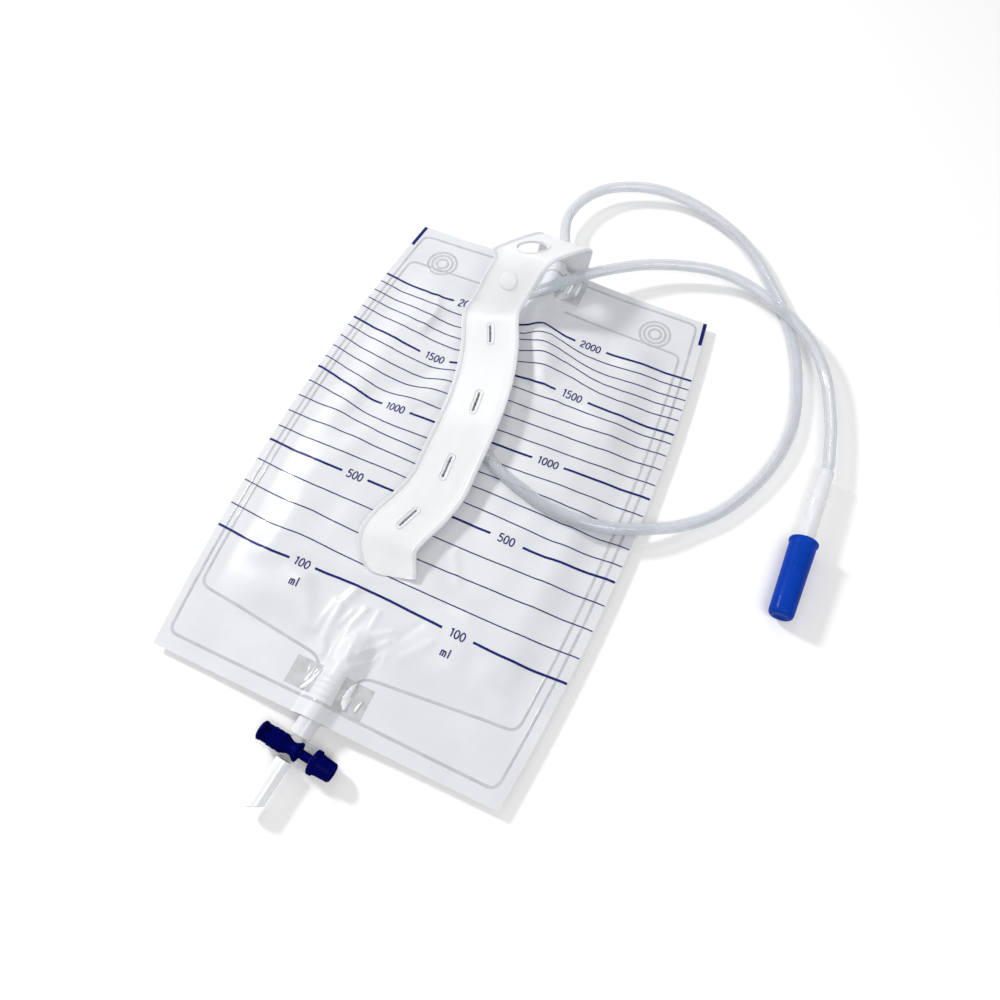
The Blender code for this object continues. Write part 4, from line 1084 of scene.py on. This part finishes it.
class MakeStrap(bpy.types.Operator):
    """Moulded hanger strap with rims, slots, button stud and eye"""
    bl_idname = "drainage_bag.make_strap"
    bl_label = "Make strap"

    def execute(self, context):
        look = context.scene.bag_strap
        colour = tuple(look.colour)
        finish = strap_finish("strap_plastic", colour)
        self.frames(12)
        holes = [self.slot_cutter(*slot) for slot in (*SLOTS, EYE)] + [self.port_cutter()]
        piece("strap_band", self.band(look), finish, "hanger_strap", sharp=50,
              holes=holes)
        # The rim borders carry the strap plastic 0.92 times as bright: painted shade of the rolled
        # rims.
        piece("strap_rims", self.rims(look), strap_finish("strap_rim_painted_shade", shade(colour, 0.92)))
        trims = [self.lip(*slot[:2], 16.6, 4.4, 0.9) for slot in SLOTS]
        trims += [self.lip(*EYE[:2], 17.2, 15.6, 1.2), self.stud()]
        piece("strap_lips_and_stud", joined(trims), finish, sharp=50)
        return {"FINISHED"}

    def frames(self, steps):
        """Middle of the band and its directions along, across and off its face."""
        path = spline(STRAP_STATIONS, steps)
        self.middle = path[:, :3] * MM
        yaw, bank = np.radians(path[:, 3]), np.radians(path[:, 4])
        across = np.column_stack([np.cos(yaw) * np.cos(bank), np.sin(yaw) * np.cos(bank),
                                  np.sin(bank)])
        self.along = unit(np.gradient(self.middle, axis=0))
        self.face = unit(np.cross(across, self.along))
        self.across = across
        self.distance = path_lengths(self.middle)

    def at(self, distance, side, up):
        """Point on the band: middle + across * side + face * up, all in metres."""
        def pick(field):
            return np.column_stack([np.interp(distance, self.distance, c) for c in field.T])
        return (pick(self.middle) + pick(self.across) * np.asarray(side)[:, None]
                + pick(self.face) * np.asarray(up)[:, None])

    def edges(self, half):
        """Half widths left and right: round corners, and at the left a notch that ends in an ear."""
        def corner(distance, radius):
            inside = np.clip(1 - distance / radius, 0, 1)
            return radius * (1 - np.sqrt(1 - inside**2)) * 0.92

        end = corner(self.distance[-1] - self.distance, 6 * MM)
        notch = 1.7 * MM * (smooth_step((self.distance - 181 * MM) / (10 * MM))
                            - smooth_step((self.distance - 216.5 * MM) / (2 * MM)))
        ear = 2.4 * MM * np.clip(1 - np.abs(self.distance - 219.5 * MM) / (5 * MM), 0, 1)
        return (half - corner(self.distance, 16 * MM) - end - notch + ear,
                half - corner(self.distance, 1.6 * MM) - end)

    def rims(self, look):
        """Flat borders on the rims, from 0.5 to 2.3 mm inside each edge of the band; their darker
        plastic is painted shade of the rolled rims.
        """
        left, right = self.edges(look.width / 2)
        level = look.rim / 2
        parts = []
        for edge, side in ((right, 1), (-left, -1)):
            section = [(-0.5, -0.3), (-0.5, 0.1), (-2.3, 0.1), (-2.3, -0.3)]
            rings = [self.middle + self.across * (edge + side * inward * MM)[:, None]
                     + self.face * (level + up * MM) for inward, up in section]
            parts.append(swept(np.stack(rings, axis=1)))
        return joined(parts)

    def band(self, look):
        """Rings across the band: a thin plate between two round rims, its corners drawn in."""
        left, right = self.edges(look.width / 2)
        rim, plate = look.rim / 2, look.plate / 2
        round_edge = [(rim * math.cos(a) - rim, rim * math.sin(a))
                      for a in np.linspace(-math.pi / 2, math.pi / 2, 7)]
        step = [(-2.0 * MM, rim), (-2.5 * MM, 0.75 * rim), (-3.0 * MM, plate), (-7 * MM, plate)]
        under = [(inward, -up) for inward, up in step[::-1]]
        section = [(right + inward, up) for inward, up in under + round_edge + step]
        section += [(-left - inward, up) for inward, up in (under + round_edge + step)[::-1]]
        points = np.stack([self.middle + self.across * side[:, None] + self.face * up
                           for side, up in section], axis=1)
        return swept(points)

    def stadium(self, length, width, count=40):
        """Outline of a rounded slot: along the band, across it."""
        t = full_turn(count)
        if width > length:
            return np.sin(t) * length / 2, np.cos(t) * width / 2
        straight = (length - width) / 2
        return (width / 2 * np.sin(t) + straight * np.clip(np.sin(t) * 8, -1, 1),
                width / 2 * np.cos(t))

    def slot_cutter(self, distance, side, length, width):
        """Shape of a hole that is 0.9 mm larger at the strap's face than at its underside."""
        rings = []
        for up, flare in ((-3 * MM, 0), (-0.5 * MM, 0), (0.5 * MM, 0.9), (3 * MM, 1.2)):
            along, across = self.stadium((length + flare) * MM, (width + flare) * MM)
            rings.append(self.at(distance * MM + along, side * MM + across,
                                 np.full(len(along), up)))
        return swept(np.stack(rings))

    def port_cutter(self):
        """A drum that clears the strap's foot round the inlet port."""
        return placed(turned([(-4, 0), (-4, 4.8), (4, 4.8), (4, 0)], 48, "Y"),
                      (INLET[0], STRAP_STATIONS[-2][1] * MM, INLET[2]))

    def lip(self, distance, side, length, width, thick):
        """A raised bead round a hole: an outline on the band's face with a round section."""
        t = full_turn(10)
        rings = []
        for a in t:
            grow = thick * math.cos(a)
            along, across = self.stadium((length + grow) * MM, (width + grow) * MM, 56)
            level = 0.45 * MM + 0.45 * thick * math.sin(a) * MM
            rings.append(self.at(distance * MM + along, side * MM + across,
                                 np.full(len(along), level)))
        return swept(np.stack(rings, axis=1), close_path=True)

    def stud(self):
        """Round button on the inner side of the front leg, its root a low disc on the outer side."""
        profile = softened([(-0.9, 0), (-0.9, 5.5), (4.6, 5.5), (4.6, 0)], 0.8)
        points, faces = turned(profile, 48, "X")
        i = int(np.argmin(abs(self.distance - STUD_DISTANCE)))
        axes = np.stack([-self.face[i], np.cross(self.along[i], self.face[i]), self.along[i]])
        return points @ axes + self.middle[i], faces


class MakeTube(bpy.types.Operator):
    """Inlet tube with its bore, the connector and the cap"""
    bl_idname = "drainage_bag.make_tube"
    bl_label = "Make tube"

    def execute(self, context):
        look = context.scene.bag_tube
        connector = self.make_connector(look)
        cap = self.make_cap(look)
        ends = np.array(TUBE_ROUTE)[[0, -1]]
        path = np.vstack([ends[:1], spline(TUBE_ROUTE[1:-1], 10), ends[1:]]) * MM
        path = resample(path, 2.6 * MM)
        finish = clear_finish("clear_tube", tuple(look.clear), 0.3, 0.92, 0.07)
        tube = piece("inlet_tube_skin", self.pipe(path, TUBE_RADIUS, TUBE_BORE), finish,
                     "inlet_tube")
        return {"FINISHED"}

    def pipe(self, path, radius, bore):
        """Rings round the path: side = tangent x up; outer wall out, inner wall back."""
        ahead = unit(np.gradient(path, axis=0))
        side = unit(np.cross(ahead, [0, 0, 1.0]))
        up = np.cross(side, ahead)
        t = full_turn(28)[:, None]
        around = side[:, None] * np.cos(t) + up[:, None] * np.sin(t)
        return walled(*(path[:, None] + around * size for size in (radius, bore)))

    def make_connector(self, look):
        """Turned profile of the connector: long sleeve, collar, seat ring, stepped nose."""
        profile = [(46.6, 2.2), (46.6, 4.1), (46.0, 4.4), (30, 4.45), (27.5, 4.5), (26.4, 4.9),
                   (25.6, 4.95), (24.8, 4.6), (12, 4.7), (1, 4.85), (-2.8, 4.95), (-3.2, 5.7),
                   (-6.0, 5.7), (-6.5, 4.9), (-17, 4.5), (-17.6, 4.3), (-28, 3.9), (-28.6, 3.7),
                   (-40.5, 3.25), (-41.5, 2.9), (-41.5, 2.2)]
        finish = clear_finish("frosted_plastic", tuple(look.frosted), 0.62, 0.95, 0.2)
        return piece("connector_body", placed(turned(profile, 64, "Y"), CAP_MOUTH), finish,
                     "tube_connector")

    def make_cap(self, look):
        """Turned profile of the cap: rolled rim, tapering wall, dimpled end."""
        outer = [(0, 6.9), (0.15, 7.4), (-0.1, 7.85), (-0.8, 8.0), (-1.5, 7.85), (-2.0, 7.45),
                 (-3.2, 7.3), (-20, 7.0), (-43.6, 6.6), (-44.9, 6.3), (-45.7, 5.6), (-46, 4.8),
                 (-46, 3.4), (-45.6, 2.9), (-45.2, 1.6), (-45.15, 0)]
        inner = [(-43.6, 0), (-43.6, 4.2), (-42.9, 5.0), (-41.5, 5.4), (-3.4, 6.1), (-0.3, 6.4)]
        finish = gloss_finish("cap_gloss", tuple(look.cap), 0.05, 0.03)
        shape = turned(outer[::-1] + inner[::-1], 72, "Y")
        return piece("cap_shell", placed(shape, CAP_MOUTH), finish, "connector_cap",
                     body="cap", sharp=45)


class MakeDrain(bpy.types.Operator):
    """Ports, non-return sleeve, valve with its plunger, and outlet tube"""
    bl_idname = "drainage_bag.make_drain"
    bl_label = "Make drain and inlet ports"

    def execute(self, context):
        look = context.scene.bag_tube
        soft = clear_finish("soft_port", tuple(look.frosted), 0.65, 0.95, 0.18, 0.9)
        clear = clear_finish("clear_valve", tuple(look.clear), 0.0, 0.5, 0.05, 0.8, 0.38)
        outlet = clear_finish("outlet_plastic", tuple(look.frosted), 0.85, 0.97, 0.12, 0.92)
        self.make_drain_port(soft)
        self.make_inlet_port(soft)
        self.make_sleeve(soft)
        self.make_body(clear)
        self.make_plunger(gloss_finish("plunger_gloss", tuple(look.plunger), 0.02, 0.0))
        self.make_outlet(outlet)
        return {"FINISHED"}

    def make_drain_port(self, finish):
        """Turned profile with round ribs: radius 5.5 + 0.5 * bell at each rib."""
        along = np.linspace(14.6, -26.5, 130)
        radius = np.full_like(along, 5.5)
        for rib in DRAIN_RIBS / MM:
            radius += 0.5 * np.exp(-((along - rib) / 0.62) ** 4)
        outer = [(15, 4.15), (15, 5.1)] + list(zip(along, radius)) + [(-26.9, 5.3), (-26.9, 4.15)]
        piece("drain_port_skin", placed(turned(outer, 64, "Y"), DRAIN, DRAIN_YAW), finish,
              "drain_port")

    def make_inlet_port(self, finish):
        """Turned sleeve with softened ends."""
        profile = softened([(-30, 2.3), (-30, 4.2), (-29, 4.5), (5.8, 4.5), (6.5, 3.9),
                            (6.5, 2.3)], 0.3)
        piece("inlet_port_skin", placed(turned(profile, 56, "Y"), INLET), finish,
              "inlet_port")

    def make_sleeve(self, finish):
        """Flattening sleeve: half width and half height run from the port's to the flat end's."""
        t = full_turn(48)
        walls = []
        for wall in (0, 0.35 * MM):
            s = np.linspace(0, 1, 26)[:, None]
            flat = smooth_step(s / 0.5)
            wide = (4.5 + 11.5 * smooth_step(s)) * MM - wall
            tall = (4.5 - 3.7 * flat) * MM - wall
            x = INLET[0] + wide * np.cos(t)
            y = np.repeat(INLET[1] - 30.3 * MM - 40 * MM * s, len(t), axis=1)
            z = (7.5 - 3.0 * flat) * MM + tall * np.sin(t)
            walls.append(np.stack([x, y, z], axis=2))
        piece("sleeve_skin", walled(*walls), finish, "anti_reflux_valve")

    def spigot(self, radius, bore, reach, facing):
        """A branch off the barrel: it starts on the barrel's wall, sqrt(R^2 - x^2), and runs out."""
        t = full_turn(56)
        rings = []
        for size, out in ((radius, 0), (radius, 1), (bore, 1), (bore, 0)):
            x, z = size * np.cos(t) * MM, size * np.sin(t) * MM
            start = np.sqrt((5.9 * MM) ** 2 - x**2)
            y = facing * (np.full_like(t, reach * MM) if out else start)
            rings.append(np.column_stack([x, y, z]))
        return swept(np.stack(rings), close_path=True)

    def make_body(self, finish):
        """Turned barrel, a spigot each way and a rounded web 1.4 mm thick."""
        barrel = softened([(-17.2, 5.2), (-17.2, 6.45), (-16.2, 6.45), (-15.9, 6.2), (11.1, 6.2),
                           (11.4, 6.45), (12.4, 6.45), (12.4, 5.2)], 0.25)
        t = full_turn(40)
        outline = np.column_stack([-2.4 + 10.5 * np.cos(t), -5.6 - 2.2 * abs(np.sin(t)) ** 0.5
                                   * (np.sin(t) < 0) + 0.3 * (np.sin(t) > 0)]) * MM
        web = np.stack([np.column_stack([outline, np.full(len(t), z * MM)])
                        for z in (-0.7, 0.7)])
        shape = joined([turned(barrel, 72, "X"), self.spigot(3.85, 2.5, 15, 1),
                        self.spigot(3.05, 2.5, 15, -1), swept(web)])
        piece("valve_shell", placed(shape, VALVE, DRAIN_YAW), finish,
              "valve_body", sharp=35)

    def make_plunger(self, finish):
        """Turned profile of the plunger with grooves, waist, lip, flange and tapered knob."""
        profile = [(-18.3, 0), (-18.3, 4.5), (-17.9, 5.0), (-16.8, 5.0), (-16.6, 4.7),
                   (-16.6, 2.3), (-12.4, 2.3), (-12.2, 4.7), (-11.9, 5.0), (-11.0, 5.0),
                   (-10.8, 4.8), (-8.9, 4.8), (-8.7, 5.0), (-7.9, 5.0), (-7.7, 4.8), (-6.0, 4.8),
                   (-5.6, 5.0), (-4.6, 5.0), (-4.4, 4.8), (-1.0, 3.3), (1.0, 3.3), (3.5, 4.9),
                   (3.8, 5.0), (4.3, 5.0), (4.3, 2.3), (12.6, 2.3), (12.7, 6.1), (13.0, 6.4),
                   (14.8, 6.4), (15.1, 6.1), (15.1, 5.5), (16.3, 5.45), (16.6, 5.3), (23.6, 4.85),
                   (24.2, 4.5), (24.3, 3.9), (23.8, 3.3), (23.6, 0)]
        shape = turned(profile, 72, "X")
        fins = [self.fin(0.6, 4.6), self.fin(4.6, 0.6)]
        piece("plunger_skin", placed(joined([shape, *fins]), VALVE, DRAIN_YAW), finish,
              "valve_plunger", body="plunger", sharp=35)

    def fin(self, half_y, half_z):
        """A flat bar along the plunger between its end disc and its piston."""
        x = np.array([-16.7, -12.2]) * MM
        corners = np.array([(half_y, half_z), (-half_y, half_z), (-half_y, -half_z),
                            (half_y, -half_z)]) * MM
        return swept(np.stack([np.column_stack([np.full(4, a), corners]) for a in x]))

    def make_outlet(self, finish):
        """Tube over the lower spigot: along = start + s * length, its end cut on a slant."""
        t = full_turn(56)
        s = smooth_step(np.linspace(0, 1, 24))[:, None]
        slant = math.tan(math.radians(31))
        walls = []
        for radius in (4.2, 3.35):
            x = radius * np.cos(t)
            end = -33.3 + 4.2 * slant + x * slant
            y = -6.5 + (end + 6.5) * s
            x, z = (np.repeat(v[None, :], len(s), axis=0) for v in (x, radius * np.sin(t)))
            walls.append(np.stack([x, y, z], axis=2) * MM)
        piece("outlet_tube_skin", placed(walled(*walls), VALVE, DRAIN_YAW), finish,
              "outlet_tube")


class DrainageBagPanel(bpy.types.Panel):
    """Sizes and colours of the drainage bag"""
    bl_idname = "VIEW3D_PT_drainage_bag"
    bl_label = "Drainage Bag"
    bl_space_type = "VIEW_3D"
    bl_region_type = "UI"
    bl_category = "Drainage Bag"

    def draw(self, context):
        for holder, group in SETTINGS.items():
            box = self.layout.box()
            box.label(text=group.bl_rna.description or holder)
            for name in group.__annotations__:
                box.prop(getattr(context.scene, holder), name)
        for maker in MAKERS:
            self.layout.operator(maker.bl_idname)


SETTINGS = {"bag_film": BagFilmSettings, "bag_print": BagPrintSettings,
            "bag_strap": BagStrapSettings, "bag_tube": BagTubeSettings,
            "bag_stage": BagStageSettings}
MAKERS = (MakeStage, MakeTube, MakeFilms, MakeWelds, MakePrint, MakeStrap, MakeDrain)


def register():
    for group in SETTINGS.values():
        bpy.utils.register_class(group)
    for holder, group in SETTINGS.items():
        setattr(bpy.types.Scene, holder, PointerProperty(type=group))
    for maker in (*MAKERS, DrainageBagPanel):
        bpy.utils.register_class(maker)


def unregister():
    for maker in (DrainageBagPanel, *reversed(MAKERS)):
        bpy.utils.unregister_class(maker)
    for holder, group in SETTINGS.items():
        delattr(bpy.types.Scene, holder)
        bpy.utils.unregister_class(group)


def main():
    register()
    bpy.ops.drainage_bag.make_stage()
    bpy.ops.drainage_bag.make_tube()
    bpy.ops.drainage_bag.make_films()
    bpy.ops.drainage_bag.make_welds()
    bpy.ops.drainage_bag.make_print()
    bpy.ops.drainage_bag.make_strap()
    bpy.ops.drainage_bag.make_drain()


if __name__ == "__main__":
    main()
